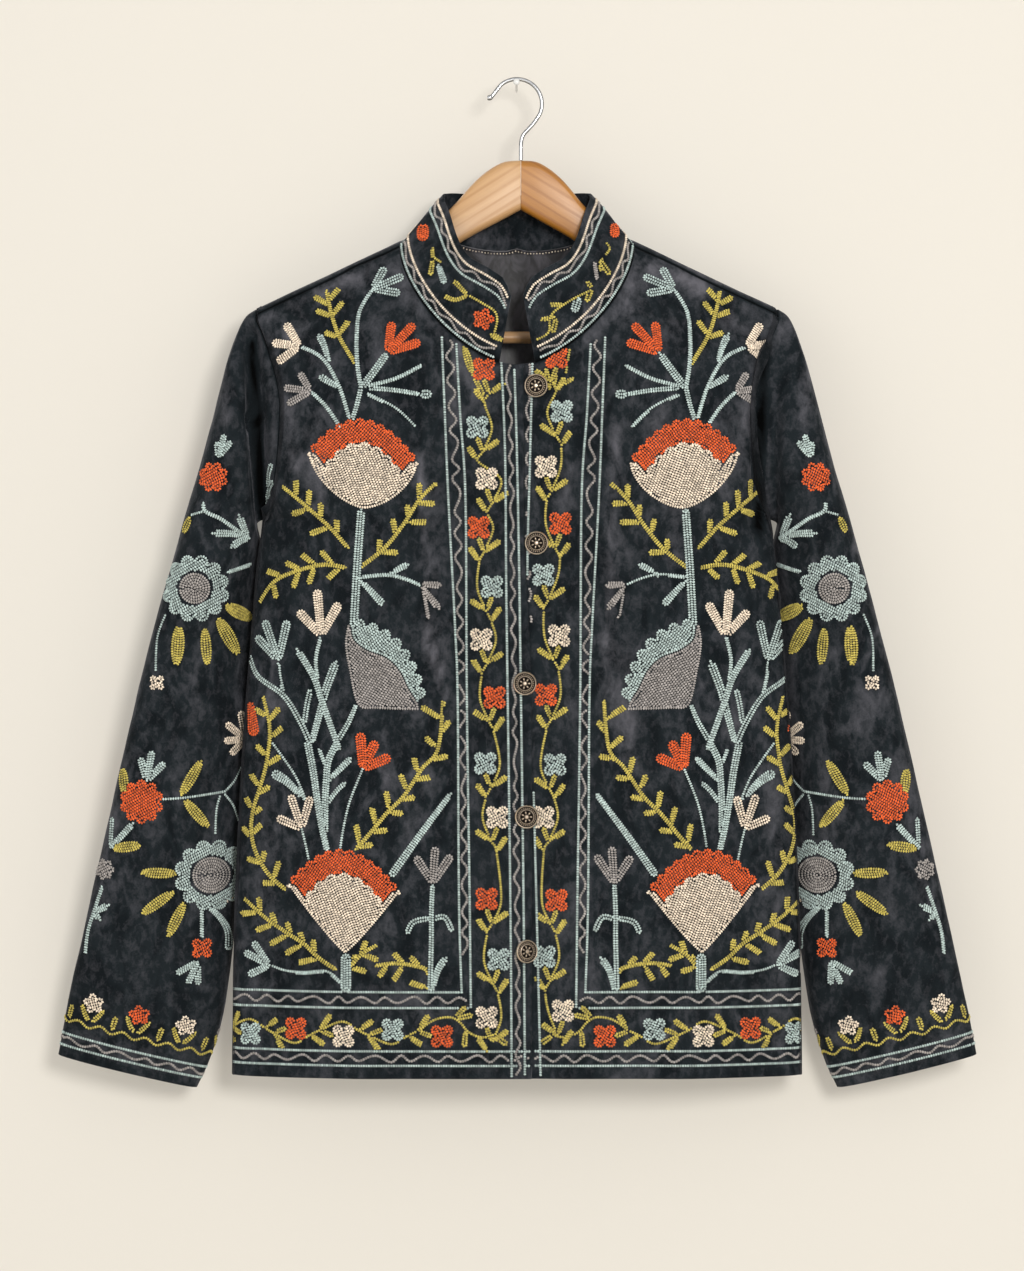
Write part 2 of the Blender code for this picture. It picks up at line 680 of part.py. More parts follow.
def make_button(number, row, material, lapping):
    """Domed disc with a shank, which stands on the left front or through the right front's slot."""
    left = front_point(1, across_at(row.x, row.z), row.z)
    lift = BUTTON_STANDOFF if not row.turn else TURNED_STANDOFF
    if row.through:
        lift += CLOTH + LAP_GAP
    back = left.y - FOOT_GAP - lift
    profile = [(0, -lift), (SHANK_RADIUS, -lift), (SHANK_RADIUS, 0)]
    profile += [(r * BUTTON_RADIUS, h * BUTTON_RADIUS) for r, h in BUTTON_PROFILE[1:]]
    solid = turned_solid(profile, BUTTON_SIDES)
    turn = math.radians(row.turn)
    for vertex in solid.verts:
        head = vertex.co.z >= -1e-6
        place = Vector((vertex.co.x, -vertex.co.z, vertex.co.y))
        if head:
            place = Matrix.Rotation(turn, 3, "Z") @ place
        vertex.co = place + Vector((row.x, back, row.z))
    make_object(f"button_{number}", solid, material)
    if row.through:
        slot = bmesh.new()
        bmesh.ops.create_cube(slot, size=1)
        cutter = make_object(f"slot_{number}", slot, material)
        cutter.scale = (SLOT_LENGTH, SLOT_DEPTH, SLOT_HEIGHT)
        cutter.location = (row.x - SLOT_SHIFT, left.y, row.z)
        cut(lapping, cutter, f"buttonhole_{number}")


def arm_rows():
    """Stations of one arm, which follows the shoulder's inside to its end."""
    under = CLOTH * math.sqrt(1 + SHOULDER_SLOPE ** 2) + REST_GAP
    rows = list(ARM_NECK)
    for x, height in zip(ARM_STATIONS, ARM_HEIGHT):
        top = ridge_z(x) - under
        if x == ARM_STATIONS[-1]:
            top -= ARM_END_DROP
        rows.append(Arm(x, top, top - height))
    return rows


def make_arm(name, side, material):
    solid = bmesh.new()
    rings = []
    for row in arm_rows():
        x = side * row.x
        if row.x == 0:
            x = HANGER_X + side * MITRE_GAP / 2
        elif abs(row.x) < ARM_STATIONS[0]:
            x += HANGER_X * (1 - row.x / ARM_STATIONS[0])
        ring = []
        upper = row.top - HANGER_HALF_THICKNESS
        lower = row.bottom + HANGER_HALF_THICKNESS
        for centre, start in ((upper, 0), (lower, 180)):
            for k in range(ARM_EDGE_POINTS + 1):
                angle = math.radians(start + 180 * k / ARM_EDGE_POINTS)
                ring.append(solid.verts.new((x, HANGER_HALF_THICKNESS * math.cos(angle),
                                             centre + HANGER_HALF_THICKNESS * math.sin(angle))))
        rings.append(ring)
    for a, b in zip(rings, rings[1:]):
        for k in range(len(a)):
            m = (k + 1) % len(a)
            solid.faces.new((a[k], a[m], b[m], b[k]))
    solid.faces.new(rings[0])
    solid.faces.new(rings[-1])
    face_outwards(solid)
    return make_object(name, solid, material)


def make_bar(name, radius, half_length, material):
    profile = [(0, -half_length), (radius, -half_length), (radius, half_length), (0, half_length)]
    solid = turned_solid(profile, BAR_SIDES)
    bmesh.ops.rotate(solid, verts=solid.verts[:], matrix=Matrix.Rotation(math.pi / 2, 3, "Y"))
    made = make_object(name, solid, material)
    made.location = (0, 0, BAR_Z)
    return made


def make_hook(material):
    """Bent wire: the crook's arc, its turn back to the middle and the stem down to the wood."""
    centre_z = -(HOOK_RADIUS - HOOK_WIRE / 2)
    points = [(x, 0, z) for x, z in HOOK_TIP]
    for k in range(HOOK_ARC_POINTS + 1):
        angle = math.radians(HOOK_START + (HOOK_END - HOOK_START) * k / HOOK_ARC_POINTS)
        points.append((HOOK_RADIUS * math.cos(angle), 0, centre_z + HOOK_RADIUS * math.sin(angle)))
    points += [(x, 0, z) for x, z in HOOK_NECK]
    foot = ARM_NECK[0].top + SEAM_GAP
    points += [(HANGER_X, 0, HOOK_STEM_Z), (HANGER_X, 0, foot)]
    curve = bpy.data.curves.new("hanger_hook", "CURVE")
    curve.dimensions = "3D"
    curve.bevel_depth = HOOK_WIRE / 2
    curve.bevel_resolution = 2
    curve.use_fill_caps = True
    spline = curve.splines.new("POLY")
    spline.points.add(len(points) - 1)
    for k, (target, point) in enumerate(zip(spline.points, points)):
        target.co = (*point, 1)
        target.radius = 1 + HOOK_BALL * max(0.0, 1 - (k - 1) ** 2) if k < 3 else 1
    curve.materials.append(material)
    made = bpy.data.objects.new("hanger_hook", curve)
    bpy.context.scene.collection.objects.link(made)


def make_hanger():
    wood = make_material("hanger_wood", (0.66, 0.42, 0.20), 0.42)
    steel = make_material("hook_steel", (0.62, 0.63, 0.65), 0.20, 1.0)
    arms = [make_arm(f"hanger_arm_{name}", side, wood) for name, side in SIDES.items()]
    make_bar("hanger_bar", BAR_RADIUS, BAR_HALF_LENGTH, wood)
    socket = make_bar("bar_socket", BAR_RADIUS + SEAM_GAP, BAR_HALF_LENGTH + SEAM_GAP, wood)
    for arm in arms:
        cut(arm, socket, "socket")
    make_hook(steel)


def make_jacket():
    velvet = make_material("velvet", (0.020, 0.028, 0.040), 0.70)
    satin = make_material("lining", (0.060, 0.060, 0.075), 0.45)
    bronze = make_material("bronze", (0.110, 0.075, 0.045), 0.40, 0.9)
    fronts = {side: front_net(side) for side in SIDES.values()}
    back = back_net()
    join_seams(fronts, back)
    net = Net()
    net.add("back_panel", back)
    net.add("collar", collar_net(neckline(fronts, back)))
    for name, side in SIDES.items():
        net.add(f"front_{name}", fronts[side])
        net.add(f"sleeve_{name}", sleeve_net(side, armhole(side, fronts[side], back)), ring=True)
    net.finish()
    pieces = {}
    for name in sorted(set(net.piece.values())):
        faces = {face for face, piece in net.piece.items() if piece == name}
        pieces[name] = make_object(name, wall(net, faces, 0, CLOTH), velvet)
    make_lining(net, satin)
    net.mesh.free()
    for number, row in enumerate(BUTTONS, 1):
        make_button(number, row, bronze, pieces["front_right"])


def main():
    for item in list(bpy.data.objects):
        bpy.data.objects.remove(item, do_unlink=True)
    make_jacket()
    make_hanger()


main()
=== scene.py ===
"""Looks of the embroidered velvet jacket on its wooden hanger.

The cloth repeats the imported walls' own surfaces in finer steps, with the smaller creases added. The
chain stitches, the buttons' relief, the wood and the wire are laid on top. Metres, +Z up, +Y towards
the jacket's back; left and right in names are the wearer's.
"""

import math
import random
from bisect import bisect_left
from collections import namedtuple
from functools import lru_cache

import bmesh
import bpy
from mathutils import Matrix, Vector, noise
from mathutils.bvhtree import BVHTree
from mathutils.kdtree import KDTree


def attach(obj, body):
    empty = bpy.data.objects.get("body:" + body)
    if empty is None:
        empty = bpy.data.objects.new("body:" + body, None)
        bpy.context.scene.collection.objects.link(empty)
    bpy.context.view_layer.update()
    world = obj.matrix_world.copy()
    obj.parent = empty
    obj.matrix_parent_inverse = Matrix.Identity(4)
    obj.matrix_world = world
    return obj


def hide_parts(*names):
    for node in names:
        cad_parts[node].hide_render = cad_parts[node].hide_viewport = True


bl_info = {
    "name": "Embroidered Velvet Jacket",
    "version": (1, 0, 0),
    "blender": (4, 5, 0),
    "location": "View3D > Sidebar > Jacket",
    "description": "Velvet jacket with floral chain stitch on a wooden hanger",
    "category": "Object",
}

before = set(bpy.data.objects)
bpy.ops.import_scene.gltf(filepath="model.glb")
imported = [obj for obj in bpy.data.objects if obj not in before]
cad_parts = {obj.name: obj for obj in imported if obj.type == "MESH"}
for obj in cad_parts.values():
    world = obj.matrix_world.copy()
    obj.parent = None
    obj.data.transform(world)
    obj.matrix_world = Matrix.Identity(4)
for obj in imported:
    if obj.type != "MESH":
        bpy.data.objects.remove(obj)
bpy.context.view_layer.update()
BODY_NAME = "root"


def table(kind, rows):
    """The rows with named columns."""
    return tuple(kind(*row) for row in rows)


# Cloth
CLOTH = 0.0020              # velvet with its backing
LINING = 0.0010
SEAM_GAP = 0.0003           # between pieces at a seam
SEAM_SHARE = 0.55           # of the seam's gap, taken from each side
LAP_GAP = 0.0004            # between the two fronts where they lap
SIDES = {"right": -1, "left": 1}

# Heights below the hook, and widths from the middle
NECK_HALF_WIDTH = 0.0905    # middle to the neck end of the shoulder seam
NECK_RIDGE_Z = -0.1232      # top of the shoulder beside the neck
SHOULDER_SLOPE = 0.475      # fall of the shoulder for each metre outwards
TIP_HALF_WIDTH = 0.2002     # middle to the sleeve end of the shoulder seam
RIDGE_RADIUS = 0.0125       # the cloth's bend over the hanger
SEAM_DROP = 0.0050          # shoulder seam below the ridge, on the front of it
NECK_DROP = 0.0945          # front neck point below the shoulder seam's neck end
NECK_POWER = 1.6            # roundness of the front neckline
NECK_BACK_Z = -0.1285       # collar seam at the middle of the back
NECK_BACK_POWER = 1.4       # roundness of the back neckline
UNDERARM_Z = -0.3380        # bottom of the armhole
HEM_Z = -0.7635
ARMHOLE_DEPTH = 0.0300      # half the armhole's width, front to back
FALL = 0.1200               # height over which the cloth leaves the hanger's line
ROUNDNESS = 2.6             # 2 is an ellipse, more is squarer

Section = namedtuple("Section", "z half_width front back")
BODY = table(Section, (
    (-0.1850, 0.2002, 0.0495, 0.0330),
    (-0.2050, 0.1918, 0.0500, 0.0335),
    (-0.2260, 0.1847, 0.0500, 0.0340),
    (-0.2450, 0.1808, 0.0500, 0.0340),
    (-0.2660, 0.1808, 0.0500, 0.0340),
    (-0.2950, 0.1832, 0.0500, 0.0340),
    (-0.3160, 0.1868, 0.0500, 0.0340),
    (-0.3290, 0.1908, 0.0500, 0.0340),
    (UNDERARM_Z, 0.1950, 0.0495, 0.0340),
    (-0.3650, 0.1995, 0.0490, 0.0340),
    (-0.4000, 0.2027, 0.0480, 0.0335),
    (-0.4766, 0.2090, 0.0460, 0.0330),
    (-0.5536, 0.2138, 0.0450, 0.0325),
    (-0.6537, 0.2180, 0.0440, 0.0325),
    (HEM_Z, 0.2195, 0.0430, 0.0330),
))

# Soft folds hang down the panels: place of the top end, lean outwards for each metre down
Fold = namedtuple("Fold", "facing x top bottom half_width depth lean")
FOLDS = table(Fold, (
    (-1, -0.150, -0.300, -0.800, 0.020, -0.0045, 0.10),
    (-1, -0.100, -0.420, -0.850, 0.030, 0.0035, 0.06),
    (-1, -0.060, -0.250, -0.620, 0.022, -0.0030, -0.02),
    (-1, 0.070, -0.280, -0.700, 0.022, -0.0035, 0.05),
    (-1, 0.118, -0.430, -0.850, 0.028, 0.0035, 0.04),
    (-1, 0.158, -0.300, -0.780, 0.020, -0.0045, 0.08),
    (1, -0.130, -0.230, -0.850, 0.024, -0.0050, 0.05),
    (1, -0.055, -0.300, -0.760, 0.026, 0.0035, -0.03),
    (1, 0.030, -0.220, -0.850, 0.024, -0.0045, 0.06),
    (1, 0.115, -0.260, -0.850, 0.026, -0.0050, 0.04),
    (1, 0.160, -0.420, -0.850, 0.018, 0.0030, 0.03),
))
FOLD_FADE = 0.45            # share of a fold's length over which it comes and goes
FOLD_END = 1.25             # share of its length at which it has gone
FOLD_SIDE_POWER = 6         # how late it fades towards the side seam

# Front opening: the right front laps over the left one
Edge = namedtuple("Edge", "z x")
LAP_EDGE = (Edge(-0.2200, 0.0046), Edge(-0.3560, 0.0050), Edge(-0.4200, 0.0085),
            Edge(-0.4700, 0.0106), Edge(-0.5700, 0.0108), Edge(HEM_Z, 0.0108))
UNDERLAP_X = -0.0120        # hidden edge of the left front
LAP_MARGIN = 0.0020         # from the lap's edge to where the left front begins to rise
LAP_RAMP = 0.0280           # over which the left front comes level again
COLLAR_END_X = 0.0140       # collar seam's front end, from the middle

# Collar: top edge from its front end (0) to the middle of the back (1)
Top = namedtuple("Top", "along x y z")
COLLAR_TOP = table(Top, (
    (0.000, 0.0030, -0.0455, -0.1600),
    (0.062, 0.0122, -0.0450, -0.1542),
    (0.133, 0.0228, -0.0430, -0.1473),
    (0.227, 0.0365, -0.0365, -0.1390),
    (0.330, 0.0450, -0.0270, -0.1255),
    (0.470, 0.0522, -0.0120, -0.1030),
    (0.590, 0.0572, 0.0015, -0.0885),
    (0.720, 0.0520, 0.0130, -0.0855),
    (0.850, 0.0330, 0.0190, -0.0860),
    (1.000, 0.0000, 0.0210, -0.0865),
))
COLLAR_ROWS = 6
COLLAR_BULGE = 0.0015
BULGE_START = 0.10          # share of the collar over which the bulge begins
CORNER_LENGTH = 0.070       # share of the collar over which its corner is rounded
CORNER_CUT = 0.150          # share of its height lost at the corner

# Sleeve rings below the armhole: outer and inner edge, half depths in front of and behind them
Ring = namedtuple("Ring", "outer_x outer_z inner_x inner_z inner_y outer_y front back")
SLEEVE = table(Ring, (
    (0.2098, -0.1830, 0.1998, -0.3402, 0.0030, 0.0000, 0.0215, 0.0235),
    (0.2185, -0.2040, 0.2012, -0.3440, 0.0075, -0.0010, 0.0330, 0.0290),
    (0.2268, -0.2320, 0.2000, -0.3497, 0.0135, -0.0020, 0.0385, 0.0290),
    (0.2352, -0.2640, 0.1972, -0.3585, 0.0205, -0.0030, 0.0395, 0.0280),
    (0.2442, -0.2980, 0.1970, -0.3725, 0.0260, -0.0040, 0.0405, 0.0270),
    (0.2555, -0.3360, 0.1977, -0.3915, 0.0295, -0.0050, 0.0410, 0.0260),
    (0.2665, -0.3760, 0.1990, -0.4165, 0.0320, -0.0060, 0.0400, 0.0250),
    (0.2782, -0.4200, 0.2012, -0.4485, 0.0330, -0.0060, 0.0385, 0.0245),
    (0.2902, -0.4660, 0.2043, -0.4870, 0.0325, -0.0060, 0.0370, 0.0240),
    (0.3012, -0.5120, 0.2080, -0.5320, 0.0305, -0.0060, 0.0360, 0.0235),
    (0.3118, -0.5580, 0.2120, -0.5795, 0.0270, -0.0050, 0.0345, 0.0230),
    (0.3220, -0.6040, 0.2160, -0.6270, 0.0225, -0.0040, 0.0320, 0.0220),
    (0.3328, -0.6500, 0.2205, -0.6740, 0.0178, -0.0030, 0.0285, 0.0205),
    (0.3425, -0.6930, 0.2265, -0.7180, 0.0130, -0.0015, 0.0240, 0.0180),
    (0.3492, -0.7270, 0.2370, -0.7530, 0.0095, 0.0000, 0.0195, 0.0155),
    (0.3535, -0.7490, 0.2472, -0.7754, 0.0080, 0.0000, 0.0160, 0.0130),
))
ARMHOLE_RINGS = 4           # rings over which the armhole's own shape fades out
ARMHOLE_BEND = 0.5          # how much of the armhole's bend out of its plane the rings keep

# Sleeve creases run round the sleeve: ring, place round it in degrees from the outer edge
Crease = namedtuple("Crease", "side ring angle rings degrees depth")
CREASES = table(Crease, (
    (-1, 7.5, 120, 0.9, 34, -0.0045), (-1, 9.0, 150, 0.8, 30, 0.0030),
    (-1, 10.2, 62, 1.0, 28, -0.0035), (-1, 4.2, 70, 1.0, 30, -0.0030),
    (-1, 8.0, 250, 1.0, 40, -0.0040),
    (1, 7.0, 112, 1.0, 36, -0.0045), (1, 8.8, 148, 0.8, 30, 0.0030),
    (1, 10.8, 70, 1.0, 28, -0.0035), (1, 3.8, 66, 1.0, 30, -0.0030),
    (1, 9.2, 240, 1.0, 40, -0.0040),
))

# Rows and columns of the nets, as shares of their length
UPPER_KNOTS = (0.0, 0.05, 0.13, 0.23, 0.35, 0.48, 0.61, 0.73, 0.84, 0.93, 1.0)
RIDGE_STEPS = (0.0, 0.0015, 0.0045, 0.0070, 0.0095, 0.0125, 0.0160)
LOWER_ROWS = 84             # from the underarm to the hem
SHOULDER_KNOTS = (0.61, 0.69, 0.77, 0.84, 0.90, 0.95, 0.98, 1.0)
NECK_COLUMNS = 18           # of a front, under the neckline
OPENING_COLUMNS = 6         # from there to the front edge
BACK_NECK_KNOTS = (0.0, 0.0250, 0.0480, 0.0680, 0.0830)
PATH_SAMPLES = 120          # of each half of a back column's line
ROW_PARTS = 3               # rows and columns between two knots
SLEEVE_PARTS = 6            # rows between two sleeve rings
SEAM_ROW = 0.0018           # width of the rows that turn in at a seam
SEAM_SINK = 0.0009          # how deep they go
EDGE_ROLL = 0.0006          # roundness of a turned edge

# Buttons: place, whether it has gone through its buttonhole, turn to one side in degrees
Button = namedtuple("Button", "x z through turn")
BUTTONS = table(Button, (
    (0.0143, -0.2376, False, 0), (0.0147, -0.3568, False, 0),
    (0.0059, -0.4634, True, 0), (0.0073, -0.5646, True, 0),
    (0.0066, -0.6665, True, 28),
))
BUTTON_RADIUS = 0.0090
SHANK_RADIUS = 0.0015
SHANK_TOP = 0.0004          # how far it goes into the button
SHANK_SIDES = 16
FOOT_GAP = 0.0005           # from the shank's foot to the sloping cloth
BUTTON_STANDOFF = 0.0008    # from the cloth to the button's back
TURNED_STANDOFF = 0.0042    # the same, of a button turned on its shank

# Upper back lining, as far as the neck opening shows it
LINING_HALF_WIDTH = 0.0620
LINING_END_Z = -0.2400
LINING_STITCHES = 40
LINING_STITCH = 0.62        # of a stitch's full size
LINING_REACH = 0.046        # from the middle to the row's last stitch
LINING_INSET = 0.0012       # of the row, below the lining's top edge

# Hanger
HANGER_X = 0.0030
HANGER_HALF_THICKNESS = 0.0055
REST_GAP = 0.0008           # under the cloth that lies on it
Arm = namedtuple("Arm", "x top bottom")
ARM_NECK = (Arm(0.000, -0.0612, -0.0993), Arm(0.012, -0.0622, -0.1060), Arm(0.022, -0.0672, -0.1115),
            Arm(0.032, -0.0752, -0.1168), Arm(0.040, -0.0838, -0.1215), Arm(0.048, -0.0935, -0.1265),
            Arm(0.055, -0.1008, -0.1312), Arm(0.069, -0.1170, -0.1400), Arm(0.081, -0.1246, -0.1465))
ARM_STATIONS = (0.0905, 0.110, 0.130, 0.150, 0.168, 0.180, 0.187)
ARM_HEIGHT = (0.0270, 0.0265, 0.0270, 0.0290, 0.0325, 0.0330, 0.0230)
ARM_END_DROP = 0.0050       # of the rounded end
ARM_FINE_POINTS = 8         # steps round each of a board's two round edges
MITRE_GAP = 0.0003
GRAIN_SLOPE = 0.62          # of the grain, along the arms
BAR_Z = -0.1975
BAR_RADIUS = 0.0046
BAR_HALF_LENGTH = 0.1760
BAR_EDGE = 0.0006           # roundness of its ends
BAR_FINE_SIDES = 36

# Hook
HOOK_WIRE = 0.0030
HOOK_STEP = 0.0010          # between two points of the wire
HOOK_RADIUS = 0.0192        # of the crook, to the middle of the wire
HOOK_TIP = ((-0.0228, -0.0131), (-0.0207, -0.0128), (-0.0186, -0.0110), (-0.0157, -0.0072))
HOOK_START = 131            # degrees, where the crook's round part begins
HOOK_END = -25              # degrees, where the crook turns back to the stem
HOOK_ARC_POINTS = 18
HOOK_NECK = ((0.0134, -0.0318), (0.0088, -0.0370), (0.0050, -0.0413), (0.0034, -0.0455))
HOOK_STEM_Z = -0.0500       # where the wire stands straight over the wood
HOOK_BALL = 0.45            # more than the wire's own radius, as a share

# Creases placed one by one, in millimetres on the front (facing -1) or the back (1)
Stroke = namedtuple("Stroke", "facing x0 z0 x1 z1 radius depth")
STROKES = table(Stroke, (
    (-1, -204, -196, -200, -262, 5.5, -7.5), (-1, -200, -262, -195, -334, 5.5, -7.0),
    (-1, -216, -222, -214, -262, 9, 2.0), (-1, -190, -330, -150, -352, 9, -2.0),
    (-1, 190, -206, 186, -262, 6, -6.0), (-1, 186, -262, 184, -345, 6, -5.5),
    (-1, 203, -240, 200, -290, 10, 2.0), (-1, 182, -340, 138, -356, 9, -2.0),
    (-1, -172, -205, -150, -250, 12, -1.6), (-1, 160, -205, 142, -250, 12, -1.6),
    (-1, -120, -150, -95, -215, 14, 1.6), (-1, 112, -150, 90, -215, 14, 1.6),
    (-1, -66, -285, -58, -475, 9, 1.5), (-1, 57, -275, 50, -470, 9, 1.5),
    (-1, -48, -330, -40, -560, 8, -1.3), (-1, 40, -330, 34, -560, 8, -1.3),
    (-1, -200, -640, -196, -745, 9, -2.2), (-1, 204, -640, 200, -745, 9, -2.2),
    (-1, -118, -560, -110, -740, 14, -1.6), (-1, 118, -590, 112, -745, 14, -1.6),
    (-1, 181, -398, 208, -399, 5, -2.0),
    (-1, -256, -356, -214, -352, 9, -2.4), (-1, -270, -438, -228, -424, 10, -2.4),
    (-1, -292, -520, -240, -500, 11, -2.0), (-1, -318, -640, -262, -622, 11, -1.8),
    (-1, 252, -368, 212, -360, 9, -2.4), (-1, 268, -452, 226, -436, 10, -2.4),
    (-1, 288, -536, 238, -512, 11, -2.0), (-1, 312, -650, 262, -632, 11, -1.8),
    (1, -178, -215, -130, -262, 12, -3.0), (1, 178, -215, 134, -268, 12, -3.0),
    (1, -150, -330, -60, -350, 13, -2.0), (1, 150, -340, 70, -352, 13, -2.0),
    (1, -40, -250, -70, -420, 16, -2.0), (1, 70, -250, 95, -420, 16, -2.0),
    (1, 10, -470, 0, -700, 16, 1.8), (1, -110, -520, -125, -745, 15, -2.2),
    (1, 92, -540, 100, -748, 15, -2.2), (1, -262, -420, -222, -400, 10, -2.4),
    (1, -300, -590, -246, -560, 11, -2.2), (1, 262, -400, 222, -386, 10, -2.4),
    (1, 296, -570, 244, -552, 11, -2.2),
))
BROAD_NOISE = 17.0          # cycles a metre, of the cloth's unevenness
FINE_NOISE = 52.0
FINE_SHARE = 0.35           # of the fine unevenness against the broad one

# Embroidery, measured out to the side of the placket's middle and down from the hook, in millimetres
MOTIF_MIDDLE = 0.00488      # of the fronts' pattern
SLEEVE_SHIFT = {-1: 0.0, 1: -0.0039}
ROW_SPACING = 2.1           # millimetres between two rows of stitches
TWIST = 0.16                # most that a stitch turns out of its row, in radians
CROWDING = 0.0012           # no stitch lies closer than this to another one of its colour
APART = 0.0013              # nor than this to one of another colour
STEEPEST = 0.16             # least turn of the cloth towards the front that takes a motif
LAP_CLEARANCE = 0.0016      # from the lap's edge to the left front's first stitch
BUTTON_CLEARANCE = 0.0045   # round a shank

Limb = namedtuple("Limb", "thread start_width end_width points")
Tulip = namedtuple("Tulip", "thread width neck tips")
Sprig = namedtuple("Sprig", "stem tips")
Fan = namedtuple("Fan", "corner_a corner_b top bottom power fullness")
Flower = namedtuple("Flower", "thread centre radius lobes heart heart_radius")
Leaf = namedtuple("Leaf", "start end width")
Bloom = namedtuple("Bloom", "thread out down")
FRONT_TULIPS = table(Tulip, (
    ("sky", 7.6, (115, 162), ((106, 145), (91, 152), (94, 166))),
    ("cream", 8.0, (171, 206), ((182, 188), (192, 203), (189, 219))),
    ("mauve", 6.8, (162, 241), ((171, 226), (183, 238), (180, 251))),
    ("rust", 8.4, (103, 212), ((100, 188), (83, 190), (78, 204))),
    ("cream", 8.4, (154, 427), ((157, 392), (140, 402), (172, 408))),
    ("sky", 7.6, (187, 446), ((198, 415), (180, 415), (205, 427))),
    ("rust", 9.1, (122, 528), ((124, 501), (112, 507), (101, 519))),
    ("mauve", 7.6, (69, 615), ((67, 587), (55, 594), (82, 595))),
    ("cream", 7.6, (169, 574), ((178, 548), (162, 549), (188, 566))),
    ("sky", 6.8, (194, 679), ((207, 661), (214, 669), (211, 687))),
))
FRONT_LIMBS = table(Limb, (
    ("sky", 3.0, 4.2, ((115, 162), (125, 180), (127, 203), (126, 223), (123, 240))),
    ("sky", 4.6, 3.8, ((122, 233), (127, 254), (132, 268))),
    ("sky", 3.8, 3.8, ((171, 206), (153, 216), (140, 238), (132, 263))),
    ("sky", 6.8, 3.0, ((157, 196), (152, 206), (148, 219))),
    ("sky", 6.8, 3.0, ((156, 229), (148, 234), (139, 239))),
    ("sky", 3.8, 3.8, ((162, 241), (150, 253), (139, 269))),
    ("sky", 6.1, 6.8, ((103, 212), (113, 226), (123, 239))),
    ("sky", 3.8, 3.8, ((120, 238), (97, 232), (77, 222))),
    ("sky", 4.6, 3.4, ((119, 239), (97, 241), (79, 244))),
    ("sky", 7.6, 7.6, ((78, 244), (70, 244))),
    ("sky", 3.8, 3.0, ((120, 243), (97, 255), (82, 269))),
    ("sky", 6.8, 7.2, ((123, 330), (126, 370), (129, 421))),
    ("sky", 3.8, 3.4, ((126, 383), (104, 381), (90, 384), (78, 389))),
    ("sky", 6.1, 3.0, ((87, 373), (94, 376), (103, 382))),
    ("sky", 3.0, 6.8, ((126, 383), (117, 392), (106, 404))),
    ("mauve", 6.8, 3.8, ((61, 389), (77, 388))),
    ("mauve", 6.8, 3.0, ((63, 408), (70, 399), (77, 390))),
    ("mauve", 3.8, 3.0, ((72, 415), (76, 392))),
    ("sky", 3.8, 5.3, ((210, 442), (203, 458), (183, 473), (170, 493), (162, 510))),
    ("sky", 6.1, 4.6, ((173, 437), (160, 458), (153, 478), (140, 514))),
    ("sky", 3.8, 3.8, ((154, 427), (158, 444), (157, 458), (154, 472))),
    ("sky", 7.6, 4.6, ((142, 446), (150, 467), (154, 482), (161, 508))),
    ("sky", 3.0, 3.8, ((187, 446), (186, 458), (183, 471))),
    ("sky", 5.3, 4.6, ((162, 467), (165, 480), (167, 494))),
    ("sky", 3.0, 5.3, ((127, 479), (133, 493), (142, 508))),
    ("sky", 6.8, 4.6, ((165, 506), (160, 531), (157, 552), (153, 575), (148, 596))),
    ("sky", 6.1, 6.1, ((139, 504), (148, 521), (150, 537), (151, 557), (151, 578))),
    ("sky", 3.8, 3.8, ((156, 512), (150, 528))),
    ("sky", 6.1, 3.8, ((130, 519), (139, 528), (148, 537))),
    ("sky", 4.6, 3.8, ((134, 538), (142, 545), (150, 556))),
    ("sky", 9.1, 3.8, ((193, 531), (181, 538), (170, 549))),
    ("sky", 2.7, 3.8, ((193, 508), (182, 523), (173, 537), (165, 556))),
    ("sky", 3.0, 3.4, ((169, 574), (166, 586), (163, 600))),
    ("sky", 3.0, 3.0, ((122, 528), (132, 553), (137, 574), (140, 594))),
    ("sky", 3.8, 6.8, ((55, 547), (79, 579), (101, 610))),
    ("sky", 3.8, 4.9, ((69, 615), (70, 638), (70, 659), (71, 697))),
    ("sky", 5.3, 4.6, ((89, 655), (84, 645), (72, 642))),
    ("sky", 4.6, 5.3, ((70, 643), (60, 641), (54, 652))),
    ("sky", 6.8, 3.4, ((58, 671), (65, 681), (69, 696))),
    ("sky", 8.4, 9.1, ((135, 668), (135, 698))),
    ("sky", 3.4, 3.8, ((194, 679), (182, 683), (167, 684), (150, 683), (139, 691))),
    ("rust", 5.0, 11.0, ((209, 478), (206, 504))),
))
CORNER_LIMBS = table(Limb, (    # from the placket's last bloom round to the hem's vine
    ("olive", 3.4, 3.2, ((21, 727), (24, 731), (33, 732), (42, 728), (48, 721), (55, 717), (65, 718),
                         (73, 722), (80, 728))),
    ("olive", 4.0, 5.6, ((22, 731), (12, 738))),
    ("olive", 3.4, 5.6, ((44, 727), (45, 740))),
    ("olive", 4.0, 5.2, ((51, 718), (38, 715))),
    ("olive", 3.2, 5.0, ((52, 717), (44, 709))),
))
